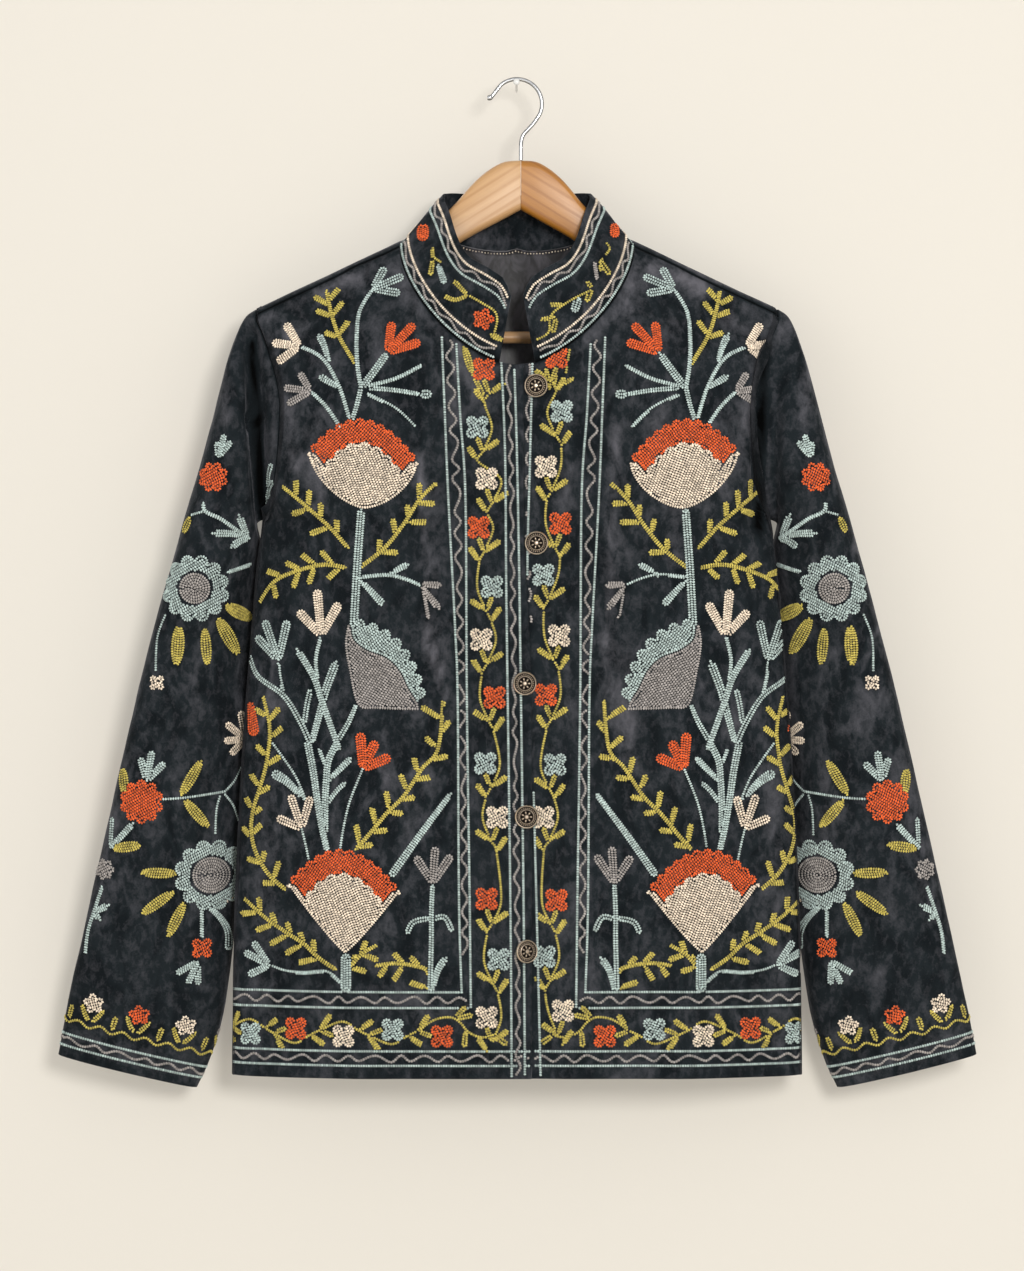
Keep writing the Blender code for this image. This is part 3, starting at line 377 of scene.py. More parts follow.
FRONT_SPRIGS = table(Sprig, (
    (((126, 223), (140, 200), (147, 180), (151, 162)),
     ((159, 168), (142, 162), (157, 179), (139, 173), (151, 196), (134, 188))),
    (((132, 362), (147, 345), (166, 328), (184, 313)),
     ((173, 310), (163, 318), (175, 334), (154, 327), (161, 349), (142, 340))),
    (((125, 376), (105, 360), (90, 341), (79, 324), (66, 311)),
     ((79, 313), (69, 327), (88, 329), (75, 341), (99, 340), (97, 364), (109, 355))),
    (((133, 376), (150, 373), (167, 376), (186, 383), (195, 391), (202, 402)),
     ((168, 366), (153, 364), (180, 372), (195, 378), (148, 383), (163, 386), (175, 389),
      (189, 397))),
    (((129, 591), (118, 579), (104, 562), (91, 549), (77, 528), (65, 513), (61, 476)),
     ((127, 572), (116, 586), (115, 559), (105, 575), (104, 547), (93, 562), (93, 534),
      (83, 550), (83, 521), (72, 535), (74, 505), (59, 519), (76, 482), (57, 493))),
    (((141, 682), (155, 673), (167, 662), (180, 654), (198, 642), (214, 628)),
     ((202, 628), (215, 640), (192, 640), (203, 652), (180, 647), (192, 662), (170, 654),
      (180, 669), (160, 660), (170, 676))),
    (((132, 679), (123, 669), (111, 662)), ((128, 671), (121, 682), (120, 660), (112, 673))),
    (((72, 695), (73, 682), (82, 678), (98, 676), (113, 678)),
     ((98, 669), (109, 685), (85, 672), (98, 688), (85, 691))),
    (((180, 622), (194, 610), (204, 594), (208, 578), (207, 562), (202, 545), (197, 528),
      (194, 508), (194, 495), (196, 485), (199, 473)),
     ((204, 484), (187, 483), (185, 498), (203, 512), (187, 520), (208, 534), (195, 543), (212, 552),
      (201, 559), (214, 575), (201, 572), (210, 598), (198, 593), (198, 616), (187, 601))),
))
FANS = table(Fan, (
    ((164, 288), (80, 296), (122, 263), (122, 331), 1.6, 0.62),
    ((180, 617), (94, 622), (138, 590), (136, 669), 1.15, 1.0),
))
HALF_FAN_BODY = ((134, 419), (136, 433), (133, 453), (126, 480), (110, 483), (79, 484))
HALF_FAN_EDGE = ((129, 416), (110, 422), (94, 434), (82, 454), (76, 475))
HALF_FAN_NEAR = ((131, 420), (129, 430), (119, 438), (104, 444), (94, 454), (87, 468), (80, 478))

# Lines that frame the fronts, from the collar down; the placket's blooms and the hem's
FRAME_OUTER = ((62, 200), (60, 250), (57, 324), (52, 420), (50, 476), (49, 628), (47, 698))
FRAME_INNER = ((51, 205), (48, 260), (44, 324), (43, 476), (41, 620), (40, 710))
EDGE_INNER = ((17, 216), (14, 290), (13, 400), (10, 628), (9, 762))
EDGE_OUTER = {-1: ((7, 224), (5, 290), (3, 400), (0, 628), (-1, 762)),
              1: ((7, 212), (5, 290), (3, 400), (8, 560), (13, 762))}
EDGE_HIDDEN = ((3.4, 212), (3.4, 356), (4.4, 420))
FRAME_ROOM = (3.0, 1.9)     # between the frame's lines, at its top and its corner
PLACKET = {
    -1: (Bloom("rust", 30, 225), Bloom("sky", 35, 269), Bloom("cream", 28, 308), Bloom("rust", 34, 345),
         Bloom("sky", 24, 390), Bloom("cream", 32, 430), Bloom("rust", 22, 474), Bloom("sky", 29, 524),
         Bloom("cream", 20, 565), Bloom("rust", 28, 627), Bloom("sky", 19, 673), Bloom("cream", 28, 717)),
    1: (Bloom("rust", 25, 216), Bloom("sky", 29, 257), Bloom("cream", 17, 299), Bloom("rust", 28, 342),
        Bloom("sky", 15, 381), Bloom("cream", 27, 427), Bloom("rust", 17, 472), Bloom("sky", 24, 525),
        Bloom("cream", 15, 565), Bloom("rust", 25, 628), Bloom("sky", 16, 671), Bloom("cream", 30, 712)),
}
PLACKET_MIDDLE = {-1: 27.0, 1: 22.0}
PLACKET_LEAVES = {
    -1: (Leaf((45, 208), (39, 228), 6.8), Leaf((39, 228), (30, 245), 4.0)),
    1: (Leaf((17, 224), (20, 240), 5.5), Leaf((25, 223), (23, 238), 5.5), Leaf((38, 232), (26, 238), 4.6),
        Leaf((35, 210), (32, 229), 3.2)),
}
HEM_BLOOMS = ("rust", "sky", "cream", "rust", "sky")
HEM_STEP = 37.7             # along the hem
HEM_FIRST = {-1: 62, 1: 20}     # first bloom's place along the hem, on the front and on the back
HEM_SWAY = (-1, 4)          # of the blooms, above and below the vine
HEM_HEIGHTS = {"edge": 9.5, "wave": 15.0, "line": 20.5, "vine": 33.0, "lower": 53.5, "upper": 65.5}
HEM_COLUMNS = 80            # of the cloth's strip that the hem's band takes in
HEM_ROWS = 22
HEM_ROW = 0.004
BLOOM_RADIUS = 10.8

# Collar: distances from the seam and from the top edge, and motifs placed as on the fronts
COLLAR_BASE_LINES = (("sky", 2.2, 0.0), ("mauve", 6.3, 1.7), ("cream", 10.8, 0.0))
COLLAR_TOP_LINES = (("cream", 5.6, 0.0), ("mauve", 9.8, 1.7), ("sky", 14.2, 0.0))
COLLAR_LIMBS = {
    -1: (Limb("olive", 5.0, 3.0, ((54, 156), (43, 168))),
         Limb("olive", 4.6, 3.0, ((62, 168), (52, 172), (43, 169))),
         Limb("olive", 3.0, 3.4, ((43, 168), (31, 175), (22, 181), (20, 188), (22, 197))),
         Limb("olive", 6.4, 3.4, ((26, 198), (16, 203))), Limb("olive", 3.0, 4.0, ((70, 128), (69, 139))),
         Limb("olive", 3.6, 5.2, ((69, 140), (71, 153))), Limb("olive", 3.0, 3.6, ((69, 138), (62, 143))),
         Limb("sky", 4.0, 6.4, ((65, 144), (60, 159))), Limb("rust", 10.0, 10.4, ((77, 112), (77, 125)))),
    1: (Limb("olive", 3.0, 3.4, ((63, 126), (66, 131), (62, 137))),
        Limb("olive", 4.0, 5.6, ((58, 140), (66, 152))),
        Limb("mauve", 3.6, 4.0, ((54, 141), (56, 156))), Limb("olive", 5.0, 4.4, ((60, 137), (59, 149))),
        Limb("olive", 3.4, 3.0, ((52, 164), (35, 173), (21, 184), (19, 197), (9, 203))),
        Limb("olive", 5.0, 4.6, ((47, 157), (52, 162))), Limb("olive", 5.6, 4.6, ((52, 162), (48, 173))),
        Limb("sky", 7.6, 7.0, ((42, 170), (38, 182))), Limb("olive", 4.6, 3.0, ((19, 176), (32, 176))),
        Limb("olive", 4.6, 3.0, ((12, 188), (24, 185))), Limb("olive", 4.0, 5.4, ((25, 186), (22, 198))),
        Limb("rust", 7.0, 8.6, ((70, 110), (70, 122)))),
}
COLLAR_FLOWER = Flower("rust", (30.5, 187), 9.0, 5, "rust", 0.0)
COLLAR_MARGIN = 4           # from the collar's front ends to its lines

# Sleeves, measured out from the jacket's middle
SLEEVE_TULIPS = table(Tulip, (
    ("sky", 6.1, (228, 291), ((223, 273), (218, 279), (229, 279))),
    ("cream", 6.8, (210, 507), ((224, 494), (226, 508), (221, 519), (213, 485))),
    ("sky", 6.8, (283, 538), ((279, 515), (269, 524), (288, 520))),
    ("sky", 6.1, (245, 677), ((261, 686), (253, 695), (245, 695))),
))
SLEEVE_LIMBS = table(Limb, (
    ("sky", 3.8, 3.8, ((239, 324), (238, 332), (226, 338), (215, 346), (205, 353))),
    ("sky", 3.0, 3.0, ((238, 332), (249, 335))), ("sky", 6.8, 4.6, ((213, 334), (207, 351))),
    ("sky", 6.8, 4.6, ((233, 349), (220, 349), (211, 350))),
    ("sky", 6.8, 4.6, ((219, 360), (213, 355), (206, 352))),
    ("sky", 3.8, 3.8, ((223, 379), (214, 376), (204, 372))),
    ("sky", 3.0, 3.0, ((268, 410), (275, 429), (276, 455))),
    ("sky", 3.4, 3.4, ((271, 552), (254, 551), (225, 547))),
    ("sky", 3.4, 3.0, ((225, 547), (218, 539), (213, 528))),
    ("sky", 3.4, 3.4, ((228, 549), (231, 561), (232, 581))),
    ("sky", 3.4, 3.0, ((225, 549), (219, 558), (215, 571))),
    ("sky", 6.1, 4.6, ((293, 570), (303, 581), (312, 590))),
    ("sky", 4.6, 3.8, ((310, 565), (311, 587))),
    ("sky", 3.8, 3.8, ((317, 618), (324, 638), (329, 654), (331, 671))),
    ("sky", 6.8, 4.6, ((312, 633), (322, 638))), ("sky", 6.1, 3.8, ((319, 645), (325, 639))),
    ("sky", 3.8, 3.8, ((242, 635), (242, 659))),
    ("sky", 3.8, 6.8, ((237, 635), (228, 645), (223, 656), (223, 670))),
    ("sky", 5.3, 3.0, ((187, 294), (190, 303), (191, 313))),
    ("sky", 5.3, 3.0, ((186, 307), (190, 315), (192, 322))),
    ("sky", 5.3, 3.0, ((187, 318), (191, 324), (193, 331))),
))
SLEEVE_FLOWERS = table(Flower, (
    ("rust", (232, 306), 12.2, 8, "rust", 0.0), ("sky", (246, 391), 26.4, 12, "mauve", 12.2),
    ("cream", (275, 463), 7.2, 4, "cream", 0.0), ("rust", (287, 554), 17.5, 10, "rust", 0.0),
    ("mauve", (316, 606), 8.7, 7, "mauve", 0.0), ("sky", (235, 611), 28.0, 12, "mauve", 14.4),
    ("rust", (242, 667), 9.5, 4, "rust", 0.0), ("cream", (222, 629), 5.3, 4, "cream", 0.0),
))
SLEEVE_LEAVES = table(Leaf, (
    ((258, 420), (260, 449), 11.4), ((239, 422), (237, 449), 9.9), ((229, 414), (215, 441), 10.6),
    ((223, 404), (205, 414), 10.6), ((300, 548), (302, 529), 8.4), ((257, 549), (242, 523), 9.9),
    ((254, 553), (237, 574), 9.9), ((309, 590), (287, 587), 9.9), ((261, 609), (287, 608), 9.9),
    ((263, 623), (287, 640), 9.9), ((255, 632), (267, 657), 9.1), ((250, 337), (255, 348), 6.8),
))
CUFF_LINES = (("sky", 8.6, 0.0), ("mauve", 13.0, 1.8), ("sky", 17.6, 0.0))
CUFF_BLOOMS = ("cream", "rust", "cream", "mauve", "rust", "sky")
CUFF_PITCH = 35             # round the cuff, for each of its flowers
CUFF_FIRST = 17.0           # first flower's place round the cuff
CUFF_ROWS = 60              # rows of the sleeve that the cuff's band takes in
CUFF_VINE = 28.0            # height of the vine's line above the cuff's edge
CUFF_SWAY = (-1.6, 2.2)     # of the vine's line, below and above that height
CUFF_BLOOM = 46.0           # height of the flowers' middles
CUFF_BLOOM_RADIUS = 8.4
CUFF_LEAF = ((0, 3), (4.5, 8), (8.5, 15))   # from the vine below a flower: to the side, and up
CUFF_BUD = ((0, 1), (1, 13))                # the same, halfway to the next flower

# Stitch: one link of chain, as long, wide and high as its row is spaced
LINK_SECTION = ((-0.50, 0.0), (-0.26, 1.0), (0.0, 0.35), (0.26, 1.0), (0.50, 0.0))
LINK_TAIL = -0.66
LINK_WIDEST = 0.10
LINK_HEAD = 0.62
LINK_TIP_HEIGHT = 0.1
LINE_WIDTH = 2.6            # millimetres, of one row

# Leaves and petals: widths at the foot and the tip, in millimetres
TULIP_FOOT = 0.75           # of a tulip's petal, as a share of its width at the tip
SPRIG_STEM = (4.2, 3.0)
SPRIG_END = (3.2, 5.6)
SPRIG_LEAF = (3.6, 5.9)
SPRIG_END_LENGTH = 9        # of the leaf that ends a sprig
SPRIG_LEAN = 7.0            # how far below its tip a small leaf leaves the stem
SPRIG_REACH = 2.0           # how far it goes past its named tip
PETAL_SLANT = 0.5           # of a flower's rows, in radians
HEART_GAP = 1.0             # between a flower's heart and its petals

# Fans: lobes as their number and height in millimetres, slants of their rows in radians
FAN_WING = 0.67             # share of a fan at which its wings begin
FAN_WING_RISE = 0.19        # share of it over which they come up again
FAN_RIM = 0.36              # height of the cup's rim, as a share of the crown's
FAN_CROWN_POWER = 1.1       # roundness of the crown
FAN_LIP = (7, 4.6)
FAN_CROWN = (12, 4.4)
CUP_SLANT = -1.2
CROWN_SLANT = -0.75
HALF_FAN_LOBES = (8, 6.8)
HALF_EDGE_SLANT = 0.73
HALF_BODY_SLANT = 0.95

# Vines: places to the side that the bloom leans to and along, from its middle or from its joint
VINE_JOINT = (-4.0, 18.6)   # where a bloom's stem meets the vine
VINE_BEFORE = (-11.0, 1.0)  # the vine beside the bloom
VINE_AFTER = (3.4, 7.4)     # the vine past the joint
VINE_STEM_TOP = (0, 8.0)
VINE_LEAVES = (((0, 0), (-12.4, -8.6)), ((3.4, 7.6), (11.0, -3.8)))
VINE_LEAF = (3.4, 5.9)
VINE_STEM = (3.2, 5.0)
VINE_LINE = (3.0, 3.0)

# Waves between two lines, in millimetres
WAVE_LENGTH = 19.0
WAVE_DRIFT = 23.0           # over which their evenness changes
FRAME_WAVE = 2.5
EDGE_WAVE = 1.6
HEM_WAVE = 2.2

# Painted sheen where the cloth turns over folds, shoulders and edges (positive amounts), and painted shade in
# the deepest folds (negative), placed as the creases are, with an amount for the depth
PAINTED_SHEEN_AND_SHADE = table(Stroke, (
    (-1, -204, -202, -200, -262, 2.5, -1150), (-1, -200, -262, -195, -336, 3.2, -1400),
    (-1, 190, -210, 186, -262, 2.5, -1000), (-1, 186, -262, 185, -345, 3.2, -1300),
    (-1, -74, -290, -68, -378, 2.6, 520), (-1, -67, -425, -55, -474, 2.4, 700),
    (-1, -71, -416, -64, -446, 3.0, 520), (-1, -64, -300, -60, -460, 7, 180),
    (-1, 75, -271, 68, -470, 4, 420),
    (-1, -150, -166, -118, -153, 6, 480), (-1, -176, -196, -166, -192, 6, 420),
    (-1, -96, -150, -84, -168, 8, 420), (-1, -112, -196, -104, -214, 7, 300),
    (-1, -152, -214, -146, -222, 7, 300), (-1, -174, -250, -170, -300, 4, 420),
    (-1, 140, -162, 104, -146, 7, 500), (-1, 176, -194, 158, -184, 7, 450),
    (-1, 92, -152, 84, -176, 8, 450), (-1, 120, -190, 108, -206, 7, 340),
    (-1, 172, -250, 170, -300, 4, 420), (-1, -226, -226, -222, -262, 5, 360),
    (-1, 222, -226, 219, -262, 5, 360), (-1, -196, -262, -190, -320, 2.4, 420),
    (-1, 191, -270, 191, -330, 2.4, 380), (-1, 117, -324, 122, -369, 5, 380),
    (-1, 82, -438, 84, -521, 8, 300), (-1, 41, -300, 32, -330, 6, 350),
    (-1, -150, -262, -158, -300, 12, 220), (-1, 160, -262, 150, -310, 12, 220),
    (-1, -190, -520, -196, -740, 10, 200), (-1, 196, -520, 200, -740, 10, 200),
    (-1, -110, -700, -60, -712, 9, 180), (-1, 100, -700, 66, -712, 9, 180),
    (-1, -300, -520, -322, -640, 9, 260), (-1, 296, -520, 318, -640, 9, 260),
    (-1, -262, -330, -290, -440, 8, 240), (-1, 258, -330, 286, -440, 8, 240),
    (-1, -342, -735, -250, -764, 6, 300), (-1, 342, -735, 250, -764, 6, 300),
    (1, -60, -260, -66, -470, 9, 300), (1, 70, -300, 78, -520, 9, 300),
    (1, 10, -420, 4, -700, 10, 220), (1, -140, -520, -148, -740, 10, 250),
    (1, 150, -300, 140, -420, 11, 250),
))

# Button as it is seen: radius and height over its back, as shares of the radius, and how bright
# the bronze has been rubbed there
Relief = namedtuple("Relief", "radius height rub")
BUTTON_FACE = table(Relief, (
    (0.00, 0.00, 0.0), (0.70, 0.00, 0.0), (0.90, 0.05, 0.3), (0.985, 0.13, 0.7), (1.00, 0.20, 0.8),
    (0.985, 0.27, 1.0), (0.93, 0.325, 1.0), (0.88, 0.31, 0.4), (0.85, 0.24, -0.3), (0.80, 0.20, -0.3),
    (0.66, 0.205, -0.3), (0.62, 0.26, 0.8), (0.58, 0.275, 0.8), (0.55, 0.23, -0.2), (0.50, 0.21, -0.4),
    (0.24, 0.23, -0.4), (0.17, 0.33, 0.6), (0.10, 0.385, 1.0), (0.00, 0.39, 1.0),
))
BUTTON_FACE_SIDES = 48
BEAD_RING = 0.735           # radius of the ring of beads, as a share of the button's
PETAL_RING = 0.355
PETALS = 7
FACE_HEIGHT = 0.215         # of both rings over the button's back, as a share of its radius
BEAD_SIZE = (0.00062, 0.00050, 0.00060)
PETAL_SIZE = (0.00125, 0.00062, 0.00065)

# Pile beside a seam: painted shade on the seam itself, and paler a little away from it
SEAM_PAINTED_SHADE = 0.9
SEAM_PAINTED_SHADE_WIDTH = 0.0012
SEAM_PALE = 0.22
SEAM_PALE_AWAY = 0.006
SEAM_PALE_WIDTH = 0.004

# Colour sockets of a mixing node
MIX_LOW, MIX_HIGH, MIX_RESULT = 6, 7, 2

# Stage
SENSOR = 36.0               # millimetres across
CAMERA_X = -0.00385         # the picture's middle
CAMERA_Z = -0.42697
WALL_Y = 0.0520
WALL_TOP = 3
WALL_GLOW = 0.42
FLOOR_Z = -1.2000
STAGE_REACH = 4
WORLD_COLOUR = (1.0, 0.985, 0.96, 1)
WORLD_LIGHT = 0.74
PIN_PLACE = (-0.0004, 0, -0.0010)
PIN_PROFILE = (             # radius and distance from the hook's plane
    (0, -WALL_Y), (0.0009, -WALL_Y), (0.0009, 0.0019), (0.0025, 0.0021), (0.0025, 0.0031), (0.0018, 0.0038),
    (0, 0.0040),
)
Lamp = namedtuple("Lamp", "name place target size power colour")
LAMPS = table(Lamp, (
    ("key", (0.75, -3.4, 0.20), (0, 0, -0.42), 0.8, 71, (1.0, 0.985, 0.955)),
    ("fill", (-1.6, -2.2, -0.1), (0, 0, -0.5), 1.6, 6, (0.95, 0.97, 1.0)),
    ("back", (-0.8, 2.2, 0.8), (0, 0, -0.4), 1.4, 18, (1.0, 0.98, 0.95)),
))


def clamp(value):
    return min(1.0, max(0.0, value))


def smooth(value):
    value = clamp(value)
    return value * value * (3 - 2 * value)


def refined(knots, parts):
    """The knots with evenly spaced values between them."""
    values = [knots[0]]
    for a, b in zip(knots, knots[1:]):
        values += [a + (b - a) * k / parts for k in range(1, parts + 1)]
    return values


@lru_cache(maxsize=None)
def table_column(rows, column):
    """A column's places, values and slopes, in rising order of the first column."""
    pairs = sorted((row[0], getattr(row, column)) for row in rows)
    keys = [pair[0] for pair in pairs]
    values = [pair[1] for pair in pairs]
    slopes = []
    for k in range(len(keys)):
        a, b = max(0, k - 1), min(len(keys) - 1, k + 1)
        slopes.append((values[b] - values[a]) / (keys[b] - keys[a]))
    return keys, values, slopes


def read(rows, place, column):
    """Value of a column at a place in the first column, on a smooth curve through the rows."""
    keys, values, slopes = table_column(rows, column)
    place = min(keys[-1], max(keys[0], place))
    i = 0
    while i < len(keys) - 2 and place > keys[i + 1]:
        i += 1
    span = keys[i + 1] - keys[i]
    t = (place - keys[i]) / span
    return ((1 + 2 * t) * (1 - t) ** 2 * values[i] + t * (1 - t) ** 2 * span * slopes[i]
            + t * t * (3 - 2 * t) * values[i + 1] + t * t * (t - 1) * span * slopes[i + 1])


def ridge_z(x):
    """Height of the shoulder's top, whose line goes on over the neck."""
    return NECK_RIDGE_Z - SHOULDER_SLOPE * (abs(x) - NECK_HALF_WIDTH)


def neck_z(x):
    """Height of the front neckline."""
    share = min(1.0, abs(x) / NECK_HALF_WIDTH)
    drop = NECK_DROP * (1 - share ** NECK_POWER) ** (1 / NECK_POWER)
    return NECK_RIDGE_Z - SEAM_DROP - drop


def armhole_depth(z):
    """How far the armhole's edge stands in front of, or behind, the side."""
    top = ridge_z(TIP_HALF_WIDTH)
    middle, half = (top + UNDERARM_Z) / 2, (top - UNDERARM_Z) / 2
    return ARMHOLE_DEPTH * math.sqrt(max(0.0, 1 - ((z - middle) / half) ** 2))


def fold(facing, x, z, across):
    """How far the soft folds stand out; they fade at the side seam and at both ends."""
    out = 0.0
    for row in FOLDS:
        if row.facing != facing:
            continue
        centre = row.x + math.copysign(row.lean, row.x) * (row.top - z)
        length = row.top - row.bottom
        run = (row.top - z) / length
        window = smooth(run / FOLD_FADE) * smooth((FOLD_END - run) / FOLD_FADE)
        out += row.depth * window * math.exp(-((x - centre) / row.half_width) ** 2)
    return out * (1 - across ** FOLD_SIDE_POWER)


def body_point(facing, side, across, z):
    """Point of the body's outer surface: facing -1 front or 1 back, across 0 middle to 1 side."""
    x = side * across * read(BODY, z, "half_width")
    edge = armhole_depth(z)
    depth = read(BODY, z, "front" if facing < 0 else "back")
    depth = edge + (depth - edge) * (1 - clamp(abs(across)) ** ROUNDNESS) ** (1 / ROUNDNESS)
    drop = ridge_z(x) - z
    if drop < SEAM_DROP:
        y = math.sqrt(max(0.0, RIDGE_RADIUS ** 2 - (RIDGE_RADIUS - drop) ** 2))
    else:
        seam = math.sqrt(RIDGE_RADIUS ** 2 - (RIDGE_RADIUS - SEAM_DROP) ** 2)
        fallen = 1 - (1 - clamp((drop - SEAM_DROP) / FALL)) ** 2
        y = seam + (depth - seam) * fallen
    return Vector((x, facing * (y + fold(facing, x, z, abs(across))), z))


def lap_edge(z):
    return read(LAP_EDGE, z, "x")


def front_point(side, across, z):
    """Point of a front; the left one lies lower where the right one laps over it."""
    point = body_point(-1, side, across, z)
    if side > 0:
        under = 1 - smooth((point.x - lap_edge(z) - LAP_MARGIN) / LAP_RAMP)
        point.y += (CLOTH + LAP_GAP) * under
    return point


def across_at(x, z):
    return x / read(BODY, z, "half_width")


def shoulder_z(across):
    """Height of the shoulder seam in a column."""
    z = ridge_z(TIP_HALF_WIDTH)
    for _ in range(12):
        z = ridge_z(across * read(BODY, z, "half_width")) - SEAM_DROP
    return z


def shoulder_columns():
    """Shares across and heights of the shoulder seam's points, from the neck to the tip."""
    shares = refined((NECK_HALF_WIDTH / TIP_HALF_WIDTH,) + SHOULDER_KNOTS, ROW_PARTS)
    shares.insert(-1, 1 - SEAM_ROW / TIP_HALF_WIDTH)
    return [(share, shoulder_z(share)) for share in shares]


def upper_rows():
    """Shares of the way from the neckline or shoulder seam down to the underarm."""
    shares = refined(UPPER_KNOTS, ROW_PARTS)
    shares.insert(1, UPPER_KNOTS[1] / ROW_PARTS / 2)
    return shares


def lower_rows():
    return [UNDERARM_Z + (HEM_Z - UNDERARM_Z) * k / LOWER_ROWS for k in range(1, LOWER_ROWS + 1)]


def front_net(side):
    """Columns of points from the opening to the side, each from the top to the hem."""
    tops = []
    angle_end = math.acos((COLLAR_END_X / NECK_HALF_WIDTH) ** (NECK_POWER / 2))
    for k in range(NECK_COLUMNS):
        angle = angle_end * (1 - k / NECK_COLUMNS)
        x = NECK_HALF_WIDTH * math.cos(angle) ** (2 / NECK_POWER)
        tops.append((across_at(x, neck_z(x)), neck_z(x)))
    tops += shoulder_columns()
    first = tops[0][0]
    columns = []
    for step in range(OPENING_COLUMNS, 0, -1):
        out = step / OPENING_COLUMNS
        top = neck_z(COLLAR_END_X * (1 - out))
        points = []
        for z in [top + (UNDERARM_Z - top) * share for share in upper_rows()] + lower_rows():
            edge = across_at(-lap_edge(z) if side < 0 else UNDERLAP_X, z)
            points.append(front_point(side, first + (edge - first) * out, z))
        columns.append(points)
    for across, top in tops:
        heights = [top + (UNDERARM_Z - top) * share for share in upper_rows()] + lower_rows()
        columns.append([front_point(side, across, z) for z in heights])
    return columns


def running_lengths(points):
    """Length of a line up to each of its points."""
    lengths = [0.0]
    for a, b in zip(points, points[1:]):
        lengths.append(lengths[-1] + (b - a).length)
    return lengths


class BackPath:
    """A back column's line, from the shoulder seam's front over the ridge to the underarm."""

    def __init__(self, side, across, seam_z):
        top = ridge_z(across * TIP_HALF_WIDTH)
        self.points = []
        for k in range(PATH_SAMPLES + 1):
            turn = k / PATH_SAMPLES * 2 - 1
            if turn < 0:
                self.points.append(body_point(-1, side, across, top + (seam_z - top) * turn * turn))
        span = math.sqrt(top - UNDERARM_Z)
        for k in range(PATH_SAMPLES + 1):
            z = top - (span * k / PATH_SAMPLES) ** 2
            self.points.append(body_point(1, side, across, z))
        self.lengths = running_lengths(self.points)

    def at(self, length):
        for k in range(1, len(self.points)):
            if self.lengths[k] >= length:
                break
        share = (length - self.lengths[k - 1]) / (self.lengths[k] - self.lengths[k - 1])
        return self.points[k - 1].lerp(self.points[k], clamp(share))

    def length_to(self, z):
        """Length of the line to where its back part has come down to a height."""
        for k in range(len(self.points) - 1, 0, -1):
            if self.points[k].z >= z:
                return self.lengths[k]
        return 0.0


@lru_cache(maxsize=None)
def neck_length():
    """Length of the back's middle line that the neckline cuts away."""
    return BackPath(1, 0.0, ridge_z(0) - SEAM_DROP).length_to(NECK_BACK_Z)


def back_path(side, across, seam_z):
    """The line of a back column and the length at which the collar or shoulder seam cuts it."""
    path = BackPath(side, across, seam_z)
    x = abs(across) * TIP_HALF_WIDTH
    if x >= NECK_HALF_WIDTH - 1e-6:
        return path, 0.0
    return path, neck_length() * (1 - (x / NECK_HALF_WIDTH) ** NECK_BACK_POWER)


def back_columns():
    """Side, share across and seam height of each back column, from the wearer's right."""
    neck = refined(BACK_NECK_KNOTS, ROW_PARTS)
    half = [(x / TIP_HALF_WIDTH, ridge_z(x) - SEAM_DROP) for x in neck] + shoulder_columns()
    right = [(-1, across, z) for across, z in reversed(half[1:])]
    return right + [(1, across, z) for across, z in half]


def back_net():
    columns = []
    for side, across, seam_z in back_columns():
        path, start = back_path(side, across, seam_z)
        last = path.lengths[-1]
        first = start + 2 * RIDGE_RADIUS * math.acos(1 - SEAM_DROP / RIDGE_RADIUS)
        lengths = [start + step for step in RIDGE_STEPS]
        lengths += [first + (last - first) * share for share in upper_rows()]
        points = [path.at(length) for length in lengths]
        points += [body_point(1, side, across, z) for z in lower_rows()]
        columns.append(points)
    return columns


def join_seams(fronts, back):
    """Gives the back the fronts' own points along the shoulder and side seams."""
    upper = len(upper_rows()) - 1
    back_upper = len(RIDGE_STEPS) + upper
    shoulder = len(shoulder_columns())
    for side, front in fronts.items():
        for k in range(1, shoulder + 1):
            column = back[k - 1] if side < 0 else back[-k]
            column[0] = front[-k][0].copy()
        outer = back[0] if side < 0 else back[-1]
        for k in range(LOWER_ROWS + 1):
            outer[back_upper + k] = front[-1][upper + k].copy()


def neckline(fronts, back):
    """Points of the collar seam, from the right front end round the back to the left."""
    shoulder = len(shoulder_columns()) - 1
    right = [column[0] for column in fronts[-1][OPENING_COLUMNS:-shoulder]]
    left = [column[0] for column in fronts[1][OPENING_COLUMNS:-shoulder]]
    behind = [column[0] for column in back[shoulder + 1:-shoulder - 1]]
    return right + behind + left[::-1]


def collar_net(base):
    """Columns from the seam to the top edge."""
    lengths = running_lengths(base)
    columns = []
    for point, length in zip(base, lengths):
        place = length / lengths[-1] * 2
        side = -1 if place < 1 else 1
        along = place if place < 1 else 2 - place
        top = Vector((side * read(COLLAR_TOP, along, "x"), read(COLLAR_TOP, along, "y"),
                      read(COLLAR_TOP, along, "z")))
        height = 1 - CORNER_CUT * (1 - clamp(along / CORNER_LENGTH)) ** 2
        out = Vector((point.x, point.y, 0)).normalized()
        column = []
        for k in range(COLLAR_ROWS + 1):
            share = height * k / COLLAR_ROWS
            bulge = COLLAR_BULGE * math.sin(math.pi * share) * smooth(along / BULGE_START)
            column.append(point.lerp(top, share) + out * bulge)
        columns.append(column)
    return columns


def armhole(side, front, back):
    """Points round the armhole: down the front from the tip, then up the back."""
    upper = len(upper_rows()) - 1
    outer = back[0] if side < 0 else back[-1]
    down = front[-1][:upper + 1]
    up = outer[1:len(RIDGE_STEPS) + upper]
    return down + up[::-1]


def crease(side, ring, degrees):
    out = 0.0
    for row in CREASES:
        if row.side == side:
            turn = (degrees - row.angle + 180) % 360 - 180
            out += row.depth * math.exp(-((ring - row.ring) / row.rings) ** 2 - (turn / row.degrees) ** 2)
    return out


